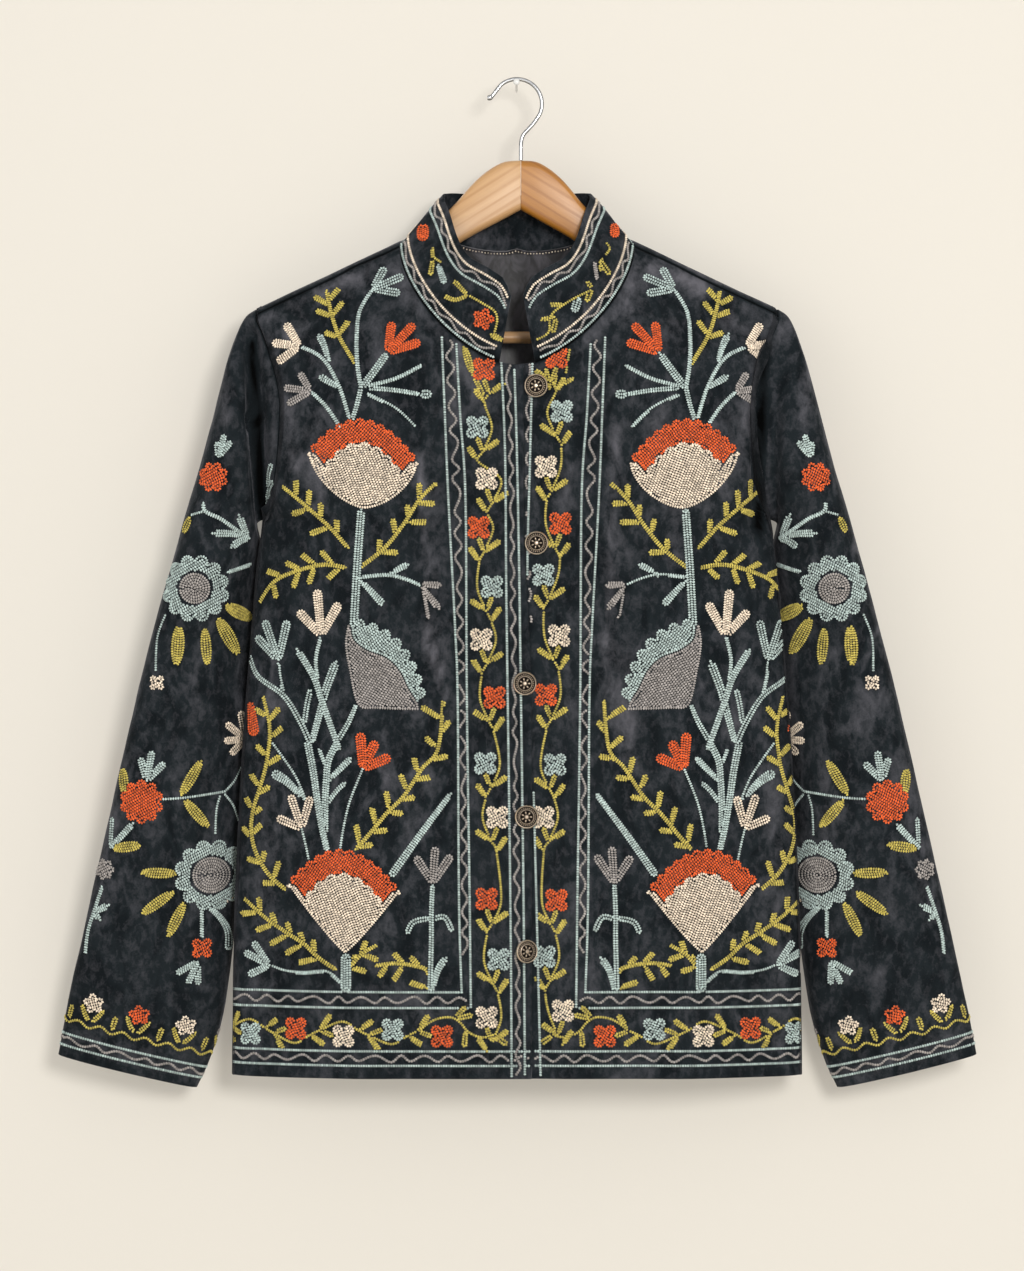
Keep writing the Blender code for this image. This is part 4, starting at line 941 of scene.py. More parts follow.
def sleeve_net(side, hole):
    """Rings from the armhole to the cuff, in the armhole's own order of points."""
    top = max(hole, key=lambda p: p.z)
    low = min(hole, key=lambda p: p.z)
    centre = (top + low) / 2
    along = (top - low).normalized()
    half = (top - low).length / 2
    outward = Vector((side, 0, 0))
    outward = (outward - along * outward.dot(along)).normalized()
    local = []
    for point in hole:
        offset = point - centre
        height = max(-1.0, min(1.0, offset.dot(along) / half))
        angle = math.acos(height) * (1 if point.y < 0 else -1)
        local.append((height, -offset.y, offset.dot(outward), angle))
    rings = [[point.copy() for point in hole]]
    for number, row in enumerate(SLEEVE, 1):
        outer = Vector((side * row.outer_x, row.outer_y, row.outer_z))
        inner = Vector((side * row.inner_x, row.inner_y, row.inner_z))
        centre = (outer + inner) / 2
        width = (outer - inner).length / 2
        u = (outer - inner).normalized()
        v = Vector((0, -1, 0))
        fade = smooth(number / ARMHOLE_RINGS)
        ring = []
        for height, forward, out, angle in local:
            depth = row.front if math.sin(angle) > 0 else row.back
            p = height + (math.cos(angle) - height) * fade
            q = forward / ARMHOLE_DEPTH
            q = q + (math.sin(angle) - q) * fade
            point = centre + u * p * width + v * q * depth
            away = (u * math.cos(angle) + v * math.sin(angle)).normalized()
            point += away * crease(side, number, math.degrees(angle) % 360)
            ring.append(point + outward * out * (1 - fade) * ARMHOLE_BEND)
        rings.append(ring)
    return finer_rings(rings)


def finer_rings(rings):
    """Rings between the given ones, on smooth strands that run down the sleeve."""
    finer = [rings[0]]
    for k in range(len(rings) - 1):
        before = rings[max(0, k - 1)]
        after = rings[min(len(rings) - 1, k + 2)]
        steps = [j / SLEEVE_PARTS for j in range(1, SLEEVE_PARTS + 1)]
        if k == 0:
            steps.insert(0, 0.1)
        for t in steps:
            ring = []
            for p, a, b, q in zip(before, rings[k], rings[k + 1], after):
                leave = (b - p) / (2 if k > 0 else 1)
                reach = (q - a) / (2 if k < len(rings) - 2 else 1)
                ring.append(a * ((1 + 2 * t) * (1 - t) ** 2) + leave * (t * (1 - t) ** 2)
                            + b * (t * t * (3 - 2 * t)) + reach * (t * t * (t - 1)))
            finer.append(ring)
    return finer


class Net:
    """Outer surface of all joined pieces: shared points, and faces that know their piece."""

    def __init__(self):
        self.mesh = bmesh.new()
        self.found = {}
        self.piece = {}

    def vertex(self, point):
        key = tuple(round(value * 1e6) for value in point)
        if key not in self.found:
            self.found[key] = self.mesh.verts.new(point)
        return self.found[key]

    def add(self, name, columns, ring=False):
        for left, right in zip(columns, columns[1:]):
            count = len(left)
            for k in range(count if ring else count - 1):
                m = (k + 1) % count
                corners = []
                for point in (left[k], left[m], right[m], right[k]):
                    vertex = self.vertex(point)
                    if vertex not in corners:
                        corners.append(vertex)
                if len(corners) > 2:
                    face = self.mesh.faces.new(corners)
                    self.piece[face] = name

    def finish(self):
        bmesh.ops.recalc_face_normals(self.mesh, faces=self.mesh.faces[:])
        chest = min(self.mesh.faces, key=lambda f: f.calc_center_median().y)
        if chest.normal.y > 0:
            bmesh.ops.reverse_faces(self.mesh, faces=self.mesh.faces[:])
        self.mesh.normal_update()

    def seams(self):
        """Vertices that lie on a seam between two pieces."""
        found = set()
        for edge in self.mesh.edges:
            if len({self.piece[face] for face in edge.link_faces}) > 1:
                found.update(edge.verts)
        return found


def stroke_sum(rows, point, normal):
    """Sum of the listed strokes at a point of the body or a sleeve."""
    out = 0.0
    x, z = point.x * 1000, point.z * 1000
    for row in rows:
        if row.facing * normal.y <= 0:
            continue
        ax, az, bx, bz = row.x0, row.z0, row.x1, row.z1
        length = (bx - ax) ** 2 + (bz - az) ** 2
        along = clamp(((x - ax) * (bx - ax) + (z - az) * (bz - az)) / length)
        away = math.hypot(x - ax - (bx - ax) * along, z - az - (bz - az) * along)
        if away < row.radius * 3:
            facing = min(1.0, abs(normal.y) * 1.6)
            out += row.depth / 1000 * math.exp(-(away / row.radius) ** 2) * facing
    return out


def crease_net(net, unevenness):
    """Moves the net's points along their normals: creases, slight unevenness and sunk seams."""
    moves = {}
    seams = net.seams()
    for vertex in net.mesh.verts:
        point = vertex.co
        move = stroke_sum(STROKES, point, vertex.normal)
        broad = noise.noise(point * BROAD_NOISE + Vector((3.1, 0, 0)))
        fine = noise.noise(point * FINE_NOISE + Vector((0, 7.7, 0)))
        move += unevenness * (broad + FINE_SHARE * fine)
        if vertex in seams:
            move -= SEAM_SINK
        moves[vertex] = vertex.normal * move
    for vertex, move in moves.items():
        vertex.co += move
    net.mesh.normal_update()


def drawn_back(vertex, faces):
    """How far a seam point of one piece moves into the piece, to leave half the seam's gap."""
    pulls = []
    for edge in vertex.link_edges:
        own = [face for face in edge.link_faces if face in faces]
        if len(own) == 1 and len(edge.link_faces) == 2:
            a, b = edge.verts
            line = (b.co - a.co).normalized()
            pull = own[0].calc_center_median() - (a.co + b.co) / 2
            pulls.append((pull - line * pull.dot(line)).normalized())
    if not pulls:
        return Vector()
    total = sum(pulls, Vector())
    if len(pulls) > 1:
        total /= 1 + max(-0.5, pulls[0].dot(pulls[1]))
    return total * SEAM_GAP * SEAM_SHARE


def wall(faces, start, thickness):
    """Closed shell on some of the net's faces; its rim is rounded and its inside is slot 1."""
    solid = bmesh.new()
    outer, inner, rim = {}, {}, {}
    for face in faces:
        for vertex in face.verts:
            if vertex not in outer:
                place = vertex.co + drawn_back(vertex, faces)
                outer[vertex] = solid.verts.new(place - vertex.normal * start)
                inner[vertex] = solid.verts.new(place - vertex.normal * (start + thickness))
    for face in faces:
        solid.faces.new([outer[vertex] for vertex in face.verts])
        lining = solid.faces.new([inner[vertex] for vertex in reversed(face.verts)])
        lining.material_index = 1
        for loop in face.loops:
            if sum(other in faces for other in loop.edge.link_faces) == 1:
                a, b = loop.vert, loop.link_loop_next.vert
                for vertex in (a, b):
                    if vertex not in rim:
                        middle = (outer[vertex].co + inner[vertex].co) / 2
                        out = (a.co + b.co) / 2 - face.calc_center_median()
                        rim[vertex] = solid.verts.new(middle + out.normalized() * EDGE_ROLL)
                solid.faces.new((outer[b], outer[a], rim[a], rim[b]))
                solid.faces.new((rim[b], rim[a], inner[a], inner[b]))
    return solid


def turned_solid(profile, sides):
    """Closed solid of a profile turned about Z; its first and last points lie on the axis."""
    solid = bmesh.new()
    rings = []
    for radius, height in profile:
        if radius == 0:
            rings.append([solid.verts.new((0, 0, height))])
        else:
            rings.append([solid.verts.new((radius * math.cos(2 * math.pi * k / sides),
                                           radius * math.sin(2 * math.pi * k / sides), height))
                          for k in range(sides)])
    for low, high in zip(rings, rings[1:]):
        for k in range(sides):
            m = (k + 1) % sides
            corners = []
            for vertex in (low[k % len(low)], low[m % len(low)], high[m % len(high)], high[k % len(high)]):
                if vertex not in corners:
                    corners.append(vertex)
            solid.faces.new(corners)
    face_outwards(solid)
    return solid


def face_outwards(solid):
    bmesh.ops.recalc_face_normals(solid, faces=solid.faces[:])
    if solid.calc_volume(signed=True) < 0:
        bmesh.ops.reverse_faces(solid, faces=solid.faces[:])


def placed_object(name, data):
    """A new object of the scene."""
    made = bpy.data.objects.new(name, data)
    bpy.context.scene.collection.objects.link(made)
    return made


def mesh_of(name, solid):
    """A smooth mesh of a solid, which is freed."""
    mesh = bpy.data.meshes.new(name)
    solid.to_mesh(mesh)
    solid.free()
    mesh.shade_smooth()
    return mesh


def note(mesh, name, values, kind="FLOAT"):
    """Gives each point of the mesh a value, or a part of one, from the flat list of values."""
    attribute = mesh.attributes.new(name, kind, "POINT")
    attribute.data.foreach_set("color" if kind == "FLOAT_COLOR" else "value", values)


def make_piece(name, solid, materials, replaced, smooth_angle=40):
    """A finished piece of the object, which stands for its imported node."""
    mesh = mesh_of(name, solid)
    mesh.set_sharp_from_angle(angle=math.radians(smooth_angle))
    for material in materials:
        mesh.materials.append(material)
    made = placed_object(name, mesh)
    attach(made, BODY_NAME)
    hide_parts(replaced)
    return made


def make_principled(name, colour, roughness, metallic=0.0):
    """A material with its shader's plain values set, and its node tree."""
    material = bpy.data.materials.new(name)
    material.use_nodes = True
    shader = material.node_tree.nodes["Principled BSDF"]
    shader.inputs["Base Color"].default_value = (*colour, 1)
    shader.inputs["Roughness"].default_value = roughness
    shader.inputs["Metallic"].default_value = metallic
    material.diffuse_color = (*colour, 1)
    return material, material.node_tree, shader


def new_group(name, inputs, outputs):
    """A shader group with named inputs, given as (name, kind, value), and outputs."""
    group = bpy.data.node_groups.new(name, "ShaderNodeTree")
    for label, kind, value in inputs:
        socket = group.interface.new_socket(label, in_out="INPUT", socket_type=f"NodeSocket{kind}")
        socket.default_value = value
    for label, kind in outputs:
        group.interface.new_socket(label, in_out="OUTPUT", socket_type=f"NodeSocket{kind}")
    return group, group.nodes.new("NodeGroupInput"), group.nodes.new("NodeGroupOutput")


def connect(tree, node, inputs):
    """Fills a node's inputs: a socket is linked, a plain value is set."""
    for label, value in inputs.items():
        if isinstance(value, bpy.types.NodeSocket):
            tree.links.new(value, node.inputs[label])
        else:
            node.inputs[label].default_value = value


def add_node(tree, kind, inputs=None, **settings):
    node = tree.nodes.new(kind)
    for name, value in settings.items():
        setattr(node, name, value)
    connect(tree, node, inputs or {})
    return node


def carried(tree, name, output="Fac"):
    """A value that the mesh's points carry."""
    return add_node(tree, "ShaderNodeAttribute", attribute_name=name).outputs[output]


def grazed(tree):
    """How far the surface turns away from the eye."""
    return add_node(tree, "ShaderNodeLayerWeight", {"Blend": 0.5}).outputs["Facing"]


def own_place(tree):
    """The point's place on the object itself."""
    return add_node(tree, "ShaderNodeTexCoord").outputs["Object"]


def stretched_noise(tree, stretch, scale, detail, distortion=0.0):
    """Noise on the object's own coordinates, drawn out along an axis."""
    mapping = add_node(tree, "ShaderNodeMapping", {"Vector": own_place(tree), "Scale": stretch})
    return add_node(tree, "ShaderNodeTexNoise", {"Vector": mapping.outputs["Vector"], "Scale": scale,
                                                 "Detail": detail, "Distortion": distortion}).outputs["Fac"]


def spread(tree, value, low, high, first=0.0, last=1.0):
    """The value's part from low to high, spread over first to last."""
    return add_node(tree, "ShaderNodeMapRange", {"Value": value, "From Min": low, "From Max": high,
                                                 "To Min": first, "To Max": last}).outputs["Result"]


def mixed(tree, share, low, high):
    """Mixes two colours; each is a socket or a plain colour."""
    low, high = (colour if isinstance(colour, bpy.types.NodeSocket) else (*colour[:3], 1)
                 for colour in (low, high))
    inputs = {"Factor": share, MIX_LOW: low, MIX_HIGH: high}
    return add_node(tree, "ShaderNodeMix", inputs, data_type="RGBA").outputs[MIX_RESULT]


def combined(tree, operation, first, second):
    return add_node(tree, "ShaderNodeMath", {0: first, 1: second}, operation=operation).outputs["Value"]


def raised(tree, shader, height, strength, distance):
    bump = add_node(tree, "ShaderNodeBump", {"Strength": strength, "Distance": distance, "Height": height})
    connect(tree, shader, {"Normal": bump.outputs["Normal"]})


@lru_cache(maxsize=None)
def nap_group():
    """Crushed pile: dark where it stands, paler where it lies over, in soft uneven patches; on top of that
    the painted sheen and shade that come in, which go as far as black in the deepest folds and on seams.
    """
    black = (0, 0, 0, 1)
    group, given, result = new_group(
        "crushed_nap",
        (("Deep", "Color", black), ("Mid", "Color", black), ("Pale", "Color", black), ("Lie", "Float", 0.0)),
        (("Color", "Color"), ("Pile", "Float"), ("Roughness", "Float")))
    given = given.outputs
    broad = stretched_noise(group, (1, 1, 0.45), 14, 2, 0.8)
    patches = stretched_noise(group, (1, 1, 0.55), 54, 6, 0.8)
    brushed = stretched_noise(group, (1, 1, 0.7), 190, 5, 0.5)
    fine = stretched_noise(group, (1, 1, 1), 700, 2)
    # The painted sheen and shade that come in are laid over the random patches of crushed pile.
    paler = combined(group, "ADD", spread(group, broad, 0.48, 0.68, 0.10, 0.55), given["Lie"])
    lie = combined(group, "MULTIPLY", spread(group, patches, 0.48, 0.70), paler)
    lie = combined(group, "ADD", lie, combined(group, "MULTIPLY", given["Lie"], 0.6))
    rough = combined(group, "ADD", spread(group, brushed, 0.32, 0.70, -0.12, 0.20),
                     spread(group, fine, 0.3, 0.7, -0.06, 0.06))
    lie = combined(group, "ADD", lie, rough)
    dark = mixed(group, spread(group, patches, 0.36, 0.54), given["Deep"], given["Mid"])
    colour = mixed(group, spread(group, lie, 0.02, 1.0), dark, given["Pale"])
    # Painted shade: towards black where the incoming amount is negative, in deep folds and on seams.
    painted_fold_and_seam_shade = spread(group, given["Lie"], -0.9, -0.05, 0.96, 0.0)
    connect(group, result, {
        "Color": mixed(group, painted_fold_and_seam_shade, colour, black),
        "Pile": combined(group, "ADD", fine, combined(group, "MULTIPLY", brushed, 0.8)),
        "Roughness": spread(group, lie, 0.0, 1.0, 0.90, 0.72)})
    return group


def velvet_material(settings, name="velvet_pile", share=1.0):
    """Velvet, with painted sheen where it turns away from the eye; a share under 1 is the darker reverse."""
    material, tree, shader = make_principled(name, settings.velvet_mid, 0.8)
    # Painted sheen: the velvet's colour turns paler where the surface turns away from the eye.
    rim = spread(tree, grazed(tree), 0.55, 1.0, 0.0, 0.30)
    inputs = {"Lie": combined(tree, "ADD", carried(tree, "lie"), rim)}
    for label in ("Deep", "Mid", "Pale"):
        inputs[label] = [value * share for value in getattr(settings, f"velvet_{label.lower()}")] + [1]
    nap = add_node(tree, "ShaderNodeGroup", inputs, node_tree=nap_group()).outputs
    connect(tree, shader, {
        "Base Color": nap["Color"], "Roughness": nap["Roughness"], "Sheen Weight": 0.16 * share,
        "Sheen Roughness": 0.35, "Sheen Tint": (0.60, 0.62, 0.70, 1), "Specular IOR Level": 0.06})
    raised(tree, shader, nap["Pile"], 0.5, 0.0008)
    return material


def satin_material(settings):
    """Smooth grey lining with a faint twill and soft light across its creases."""
    material, tree, shader = make_principled("lining_satin", settings.lining, 0.42)
    soft = stretched_noise(tree, (1, 1, 0.45), 60, 3, 2.2)
    weave = add_node(tree, "ShaderNodeTexWave", {"Vector": own_place(tree), "Scale": 520},
                     bands_direction="DIAGONAL")
    dark, pale = ([value * share for value in settings.lining] for share in (0.42, 1.75))
    connect(tree, shader, {"Base Color": mixed(tree, spread(tree, soft, 0.42, 0.60), dark, pale),
                           "Roughness": spread(tree, soft, 0.3, 0.7, 0.34, 0.52)})
    raised(tree, shader, weave.outputs["Fac"], 0.12, 0.0002)
    return material


def thread_material():
    """Matt thread, whose colour each stitch carries; painted shade darkens it in the low parts of each link,
    between the links and at their ends.
    """
    material, tree, shader = make_principled("cotton_thread", (0.5, 0.5, 0.5), 0.78)
    colour = carried(tree, "thread", "Color")
    fibre = stretched_noise(tree, (1, 1, 1), 900, 2)
    # Painted shade: the thread's colour at half its value, used in the low parts of each link.
    darker = add_node(tree, "ShaderNodeHueSaturation", {"Value": 0.50, "Color": colour})
    share = combined(tree, "ADD", spread(tree, carried(tree, "rise"), 0.08, 0.66),
                     spread(tree, fibre, 0.3, 0.7, -0.16, 0.16))
    connect(tree, shader, {"Base Color": mixed(tree, share, darker.outputs["Color"], colour),
                           "Sheen Weight": 0.10, "Specular IOR Level": 0.2})
    raised(tree, shader, fibre, 0.5, 0.0004)
    return material


@lru_cache(maxsize=None)
def grain_group():
    """Straight grain along X with finer fibres in it."""
    group, given, result = new_group(
        "wood_grain",
        (("Pale", "Color", (1, 1, 1, 1)), ("Dark", "Color", (0, 0, 0, 1)), ("Slope", "Float", 0.0)),
        (("Color", "Color"), ("Fibre", "Float"), ("Roughness", "Float")))
    given = given.outputs
    apart = add_node(group, "ShaderNodeSeparateXYZ", {"Vector": own_place(group)}).outputs
    lift = combined(group, "MULTIPLY", apart["X"], given["Slope"])
    drawn_out = add_node(group, "ShaderNodeCombineXYZ", {
        "X": combined(group, "MULTIPLY", apart["X"], 0.07), "Y": combined(group, "MULTIPLY", apart["Y"], 0.5),
        "Z": combined(group, "ADD", apart["Z"], lift)}).outputs["Vector"]
    broad = add_node(group, "ShaderNodeTexNoise", {"Vector": drawn_out, "Scale": 150, "Detail": 3})
    fine = add_node(group, "ShaderNodeTexNoise", {"Vector": drawn_out, "Scale": 900, "Detail": 2})
    rings = add_node(group, "ShaderNodeTexWave", {"Vector": drawn_out, "Scale": 36, "Distortion": 7.0,
                                                  "Detail Scale": 0.6}, bands_direction="Z")
    share = combined(group, "ADD", spread(group, broad.outputs["Fac"], 0.36, 0.66, 0, 0.45),
                     spread(group, fine.outputs["Fac"], 0.35, 0.65, 0, 0.2))
    share = combined(group, "ADD", share, spread(group, rings.outputs["Fac"], 0.70, 1.0, 0, 0.5))
    connect(group, result, {"Color": mixed(group, share, given["Pale"], given["Dark"]),
                            "Fibre": fine.outputs["Fac"],
                            "Roughness": spread(group, share, 0.0, 1.0, 0.36, 0.50)})
    return group


def wood_material(name, pale, dark, slope):
    material, tree, shader = make_principled(name, pale, 0.42)
    grain = add_node(tree, "ShaderNodeGroup", {"Pale": (*pale, 1), "Dark": (*dark, 1), "Slope": slope},
                     node_tree=grain_group()).outputs
    connect(tree, shader, {"Base Color": grain["Color"], "Roughness": grain["Roughness"],
                           "Coat Weight": 0.25, "Coat Roughness": 0.3})
    raised(tree, shader, grain["Fibre"], 0.10, 0.0002)
    return material


@lru_cache(maxsize=None)
def cloth_nets():
    """The joined nets of the fronts and the back, the collar's columns and the sleeves' rings."""
    fronts = {side: front_net(side) for side in SIDES.values()}
    back = back_net()
    join_seams(fronts, back)
    collar = collar_net(neckline(fronts, back))
    sleeves = {side: sleeve_net(side, armhole(side, fronts[side], back)) for side in SIDES.values()}
    return fronts, back, collar, sleeves


class Ground:
    """The outer surface of one cloth piece, as the needle meets it."""

    def __init__(self, name, slot=0):
        mesh = bpy.data.objects[name].data
        corners = [vertex.co for vertex in mesh.vertices]
        faces = [tuple(face.vertices) for face in mesh.polygons if face.material_index == slot]
        self.tree = BVHTree.FromPolygons(corners, faces)

    def under(self, x, z, facing):
        """The spot that is seen at x and z from the front (-1) or the back (1)."""
        place, normal = self.tree.ray_cast(Vector((x, facing, z)), Vector((0, -facing, 0)))[:2]
        if place is None or normal.y * facing < STEEPEST:
            return None
        return place, normal

    def near(self, point):
        return self.tree.find_nearest(point)[:2]


class Band:
    """A strip of cloth along an edge: places run along the edge and in from it, in millimetres."""

    def __init__(self, columns, origin=0.0):
        self.columns = columns
        self.lengths = [running_lengths(column) for column in columns]
        edge = [column[0] for column in columns]
        self.along = [length * 1000 - origin for length in running_lengths(edge)]
        self.start = self.along[0]
        self.end = self.along[-1]

    def inward(self, number, distance):
        column, lengths = self.columns[number], self.lengths[number]
        k = min(len(column) - 1, max(1, bisect_left(lengths, distance / 1000)))
        share = (distance / 1000 - lengths[k - 1]) / (lengths[k] - lengths[k - 1])
        return column[k - 1].lerp(column[k], share)

    def place(self, along, distance):
        k = min(len(self.along) - 1, max(1, bisect_left(self.along, along)))
        share = (along - self.along[k - 1]) / (self.along[k] - self.along[k - 1])
        return self.inward(k - 1, distance).lerp(self.inward(k, distance), share)


def curve(points, step=1.0):
    """A smooth line through points, in short steps."""
    ends = [Vector(point) for point in points]
    line = []
    for k in range(len(ends) - 1):
        p, a, b, q = ends[max(0, k - 1)], ends[k], ends[k + 1], ends[min(len(ends) - 1, k + 2)]
        count = max(2, round((b - a).length / step))
        for j in range(count):
            t = j / count
            line.append((2 * a + (b - p) * t + (2 * p - 5 * a + 4 * b - q) * t * t
                         + (3 * a - p - 3 * b + q) * t ** 3) / 2)
    return line + [ends[-1]]


def sideways(line):
    """Directions square to a line at each of its points."""
    square = []
    for k in range(len(line)):
        run = line[min(k + 1, len(line) - 1)] - line[max(k - 1, 0)]
        square.append(Vector((-run.y, run.x)).normalized())
    return square


def from_middle(count):
    """Places of rows beside a middle line, the nearest first."""
    return sorted((k - (count - 1) / 2 for k in range(count)), key=abs)


def rows_in(width):
    return max(1, round((width - LINE_WIDTH) / ROW_SPACING) + 1)


def half_turn(centre, spoke):
    """Points of the half circle that leads from one end of a spoke to the other."""
    return [centre + Matrix.Rotation(-math.pi * k / 6, 2) @ spoke for k in range(1, 6)]


def limb_rows(points, start_width, end_width):
    """Rows of a stem or petal: one along its middle, or rows that run round its ends."""
    line = curve(points)
    square = sideways(line)
    lengths = running_lengths(line)
    total = lengths[-1]
    widest = max(start_width, end_width)
    widths = [start_width + (end_width - start_width) * length / total for length in lengths]
    first = bisect_left(lengths, min(start_width / 2, total * 0.25))
    last = bisect_left(lengths, total - min(end_width / 2, total * 0.45))
    rows = []
    count = rows_in(widest)
    for place in from_middle(count):
        if place == 0:
            rows.append(line[:last + 2])
        elif place > 0:
            share = place / (count - 1) * (widest - LINE_WIDTH) / widest
            spokes = [out * share * width for out, width in zip(square, widths)]
            there = [line[k] + spokes[k] for k in range(first, last + 1)]
            back = [line[k] - spokes[k] for k in range(last, first - 1, -1)]
            rows.append(there + half_turn(line[last], spokes[last]) + back
                        + half_turn(line[first], -spokes[first]) + there[:1])
    return rows


def leaf_rows(start, end, width):
    """Rows along an almond leaf, drawn together at its ends."""
    line = curve((start, end))
    square = sideways(line)
    count = rows_in(width)
    rows = []
    for place in from_middle(count):
        row = []
        for k, (point, out) in enumerate(zip(line, square)):
            swell = math.sin(math.pi * (0.04 + 0.92 * k / (len(line) - 1))) ** 0.8
            row.append(point + out * place * ROW_SPACING * swell)
        rows.append(row)
    return rows


def steel_material(settings):
    """Polished wire, with painted dark reflections where it turns away from the eye, and bright where it is
    rubbed.
    """
    material, tree, shader = make_principled("polished_steel", settings.steel, 0.12, 1.0)
    wear = add_node(tree, "ShaderNodeNewGeometry").outputs["Pointiness"]
    spots = stretched_noise(tree, (1, 1, 1), 300, 3)
    share = combined(tree, "ADD", spread(tree, wear, 0.44, 0.56),
                     spread(tree, spots, 0.3, 0.7, -0.25, 0.25))
    # Painted reflection: the base colour goes to the dark steel shade where the wire turns away from the eye.
    share = combined(tree, "SUBTRACT", share, spread(tree, grazed(tree), 0.24, 0.58, 0, 1.4))
    connect(tree, shader, {"Base Color": mixed(tree, share, settings.steel_shade, settings.steel),
                           "Roughness": spread(tree, share, 0, 1, 0.37, 0.12)})
    raised(tree, shader, spots, 0.08, 0.0002)
    return material


def bronze_material(settings):
    """Dark bronze, rubbed bright where it stands up."""
    material, tree, shader = make_principled("aged_bronze", settings.bronze, 0.36, 0.9)
    spots = spread(tree, stretched_noise(tree, (1, 1, 1), 900, 3), 0.3, 0.7, -0.2, 0.2)
    share = combined(tree, "ADD", carried(tree, "rubbed"), spots)
    connect(tree, shader, {"Base Color": mixed(tree, share, settings.bronze_hollow, settings.bronze),
                           "Roughness": spread(tree, share, 0, 1, 0.70, 0.24)})
    return material


def wall_material(colour):
    """Matt paint with a faint roller texture; nothing of it shows from behind."""
    material, tree, shader = make_principled("wall_paint", colour, 0.92)
    connect(tree, shader, {"Specular IOR Level": 0.1, "Emission Color": (*colour, 1),
                           "Emission Strength": WALL_GLOW})
    raised(tree, shader, stretched_noise(tree, (1, 1, 1), 90, 3), 0.12, 0.001)
    side = add_node(tree, "ShaderNodeNewGeometry").outputs["Backfacing"]
    clear = add_node(tree, "ShaderNodeBsdfTransparent").outputs["BSDF"]
    choice = add_node(tree, "ShaderNodeMixShader", {"Fac": side, 1: shader.outputs["BSDF"], 2: clear})
    tree.links.new(choice.outputs["Shader"], tree.nodes["Material Output"].inputs["Surface"])
    return material


def ring_rows(centre, radius, inner=0.0):
    """Rows round a disc, from its rim inwards."""
    rows = []
    reach = radius - LINE_WIDTH / 2
    while reach > inner + 0.1:
        count = max(6, round(reach * 5))
        angles = [2 * math.pi * k / count for k in range(count + 1)]
        rows.append([centre + Vector((math.cos(angle), math.sin(angle))) * reach for angle in angles])
        reach -= ROW_SPACING
    if inner == 0 and reach > -0.9:
        rows.append([centre - Vector((1.0, 0)), centre + Vector((1.0, 0))])
    return rows


def filled_rows(outline, lean):
    """A row along a closed outline and straight rows inside it, which lean by an angle."""
    area = sum(a.x * b.y - b.x * a.y for a, b in zip(outline, outline[1:] + outline[:1]))
    inset = math.copysign(LINE_WIDTH / 2, area)
    edge = [point + out * inset for point, out in zip(outline, sideways(outline))]
    rows = [edge + edge[:1]]
    turn, back = Matrix.Rotation(-lean, 2), Matrix.Rotation(lean, 2)
    turned = [turn @ point for point in edge]
    height = min(point.y for point in turned) + ROW_SPACING
    while height < max(point.y for point in turned):
        cuts = []
        for a, b in zip(turned, turned[1:] + turned[:1]):
            if (a.y - height) * (b.y - height) < 0:
                cuts.append(a.x + (b.x - a.x) * (height - a.y) / (b.y - a.y))
        cuts.sort()
        for a, b in zip(cuts[::2], cuts[1::2]):
            steps = max(2, round(b - a))
            rows.append([back @ Vector((a + (b - a) * k / steps, height)) for k in range(steps + 1)])
        height += ROW_SPACING
    return rows


def sewn(thread, rows):
    return [(thread, row) for row in rows]


def drawn_all(draw, rows):
    """What is drawn for all rows of a table."""
    return [part for row in rows for part in draw(row)]


def drawn_limb(row):
    return sewn(row.thread, limb_rows(row.points, row.start_width, row.end_width))


def drawn_tulip(row):
    """Petals that meet at the neck."""
    widths = (row.width * TULIP_FOOT, row.width)
    return drawn_all(drawn_limb, [Limb(row.thread, *widths, (row.neck, tip)) for tip in row.tips])


def drawn_leaf(row):
    return sewn("olive", leaf_rows(row.start, row.end, row.width))


def drawn_sprig(row):
    """A thin stem whose small leaves point along it; it ends in a leaf."""
    stem = curve(row.stem)
    step = running_lengths(stem)[-1] / len(stem)
    parts = drawn_limb(Limb("olive", *SPRIG_STEM, row.stem))
    parts += drawn_limb(Limb("olive", *SPRIG_END, (stem[-round(SPRIG_END_LENGTH / step)], stem[-1])))
    for tip in row.tips:
        tip = Vector(tip)
        nearest = min(range(len(stem)), key=lambda k: (stem[k] - tip).length)
        foot = max(0, nearest - round(SPRIG_LEAN / step))
        tip += (tip - stem[foot]).normalized() * SPRIG_REACH
        parts += drawn_limb(Limb("olive", *SPRIG_LEAF, (stem[foot], tip)))
    return parts


def scalloped(line, count, height):
    """The line pushed out to its left in equal round lobes."""
    lengths = running_lengths(line)
    row = []
    for point, out, length in zip(line, sideways(line), lengths):
        place = 2 * (length / lengths[-1] * count % 1) - 1
        row.append(point + out * height * math.sqrt(max(0.0, 1 - place * place)))
    return row


def lobed(centre, radius, lobes, turn):
    """Outline of a flower whose round petals meet."""
    width = math.sin(math.pi / lobes) * 1.03
    lobe = radius * width / (1 + width)
    outline = []
    for k in range(lobes * 12):
        angle = 2 * math.pi * k / (lobes * 12)
        off = ((k / 12 - turn + 0.5) % 1 - 0.5) * 2 * math.pi / lobes
        sink = (radius - lobe) * math.sin(off)
        reach = (radius - lobe) * math.cos(off) + math.sqrt(lobe * lobe - sink * sink)
        outline.append(centre + Vector((math.cos(angle), math.sin(angle))) * reach)
    return outline


def kept_outside(rows, centre, radius):
    """What is left of the rows outside a disc."""
    parts = []
    for row in rows:
        part = []
        for point in row:
            if (point - centre).length > radius:
                part.append(point)
            elif part:
                parts.append(part)
                part = []
        parts.append(part)
    return [part for part in parts if len(part) > 1]


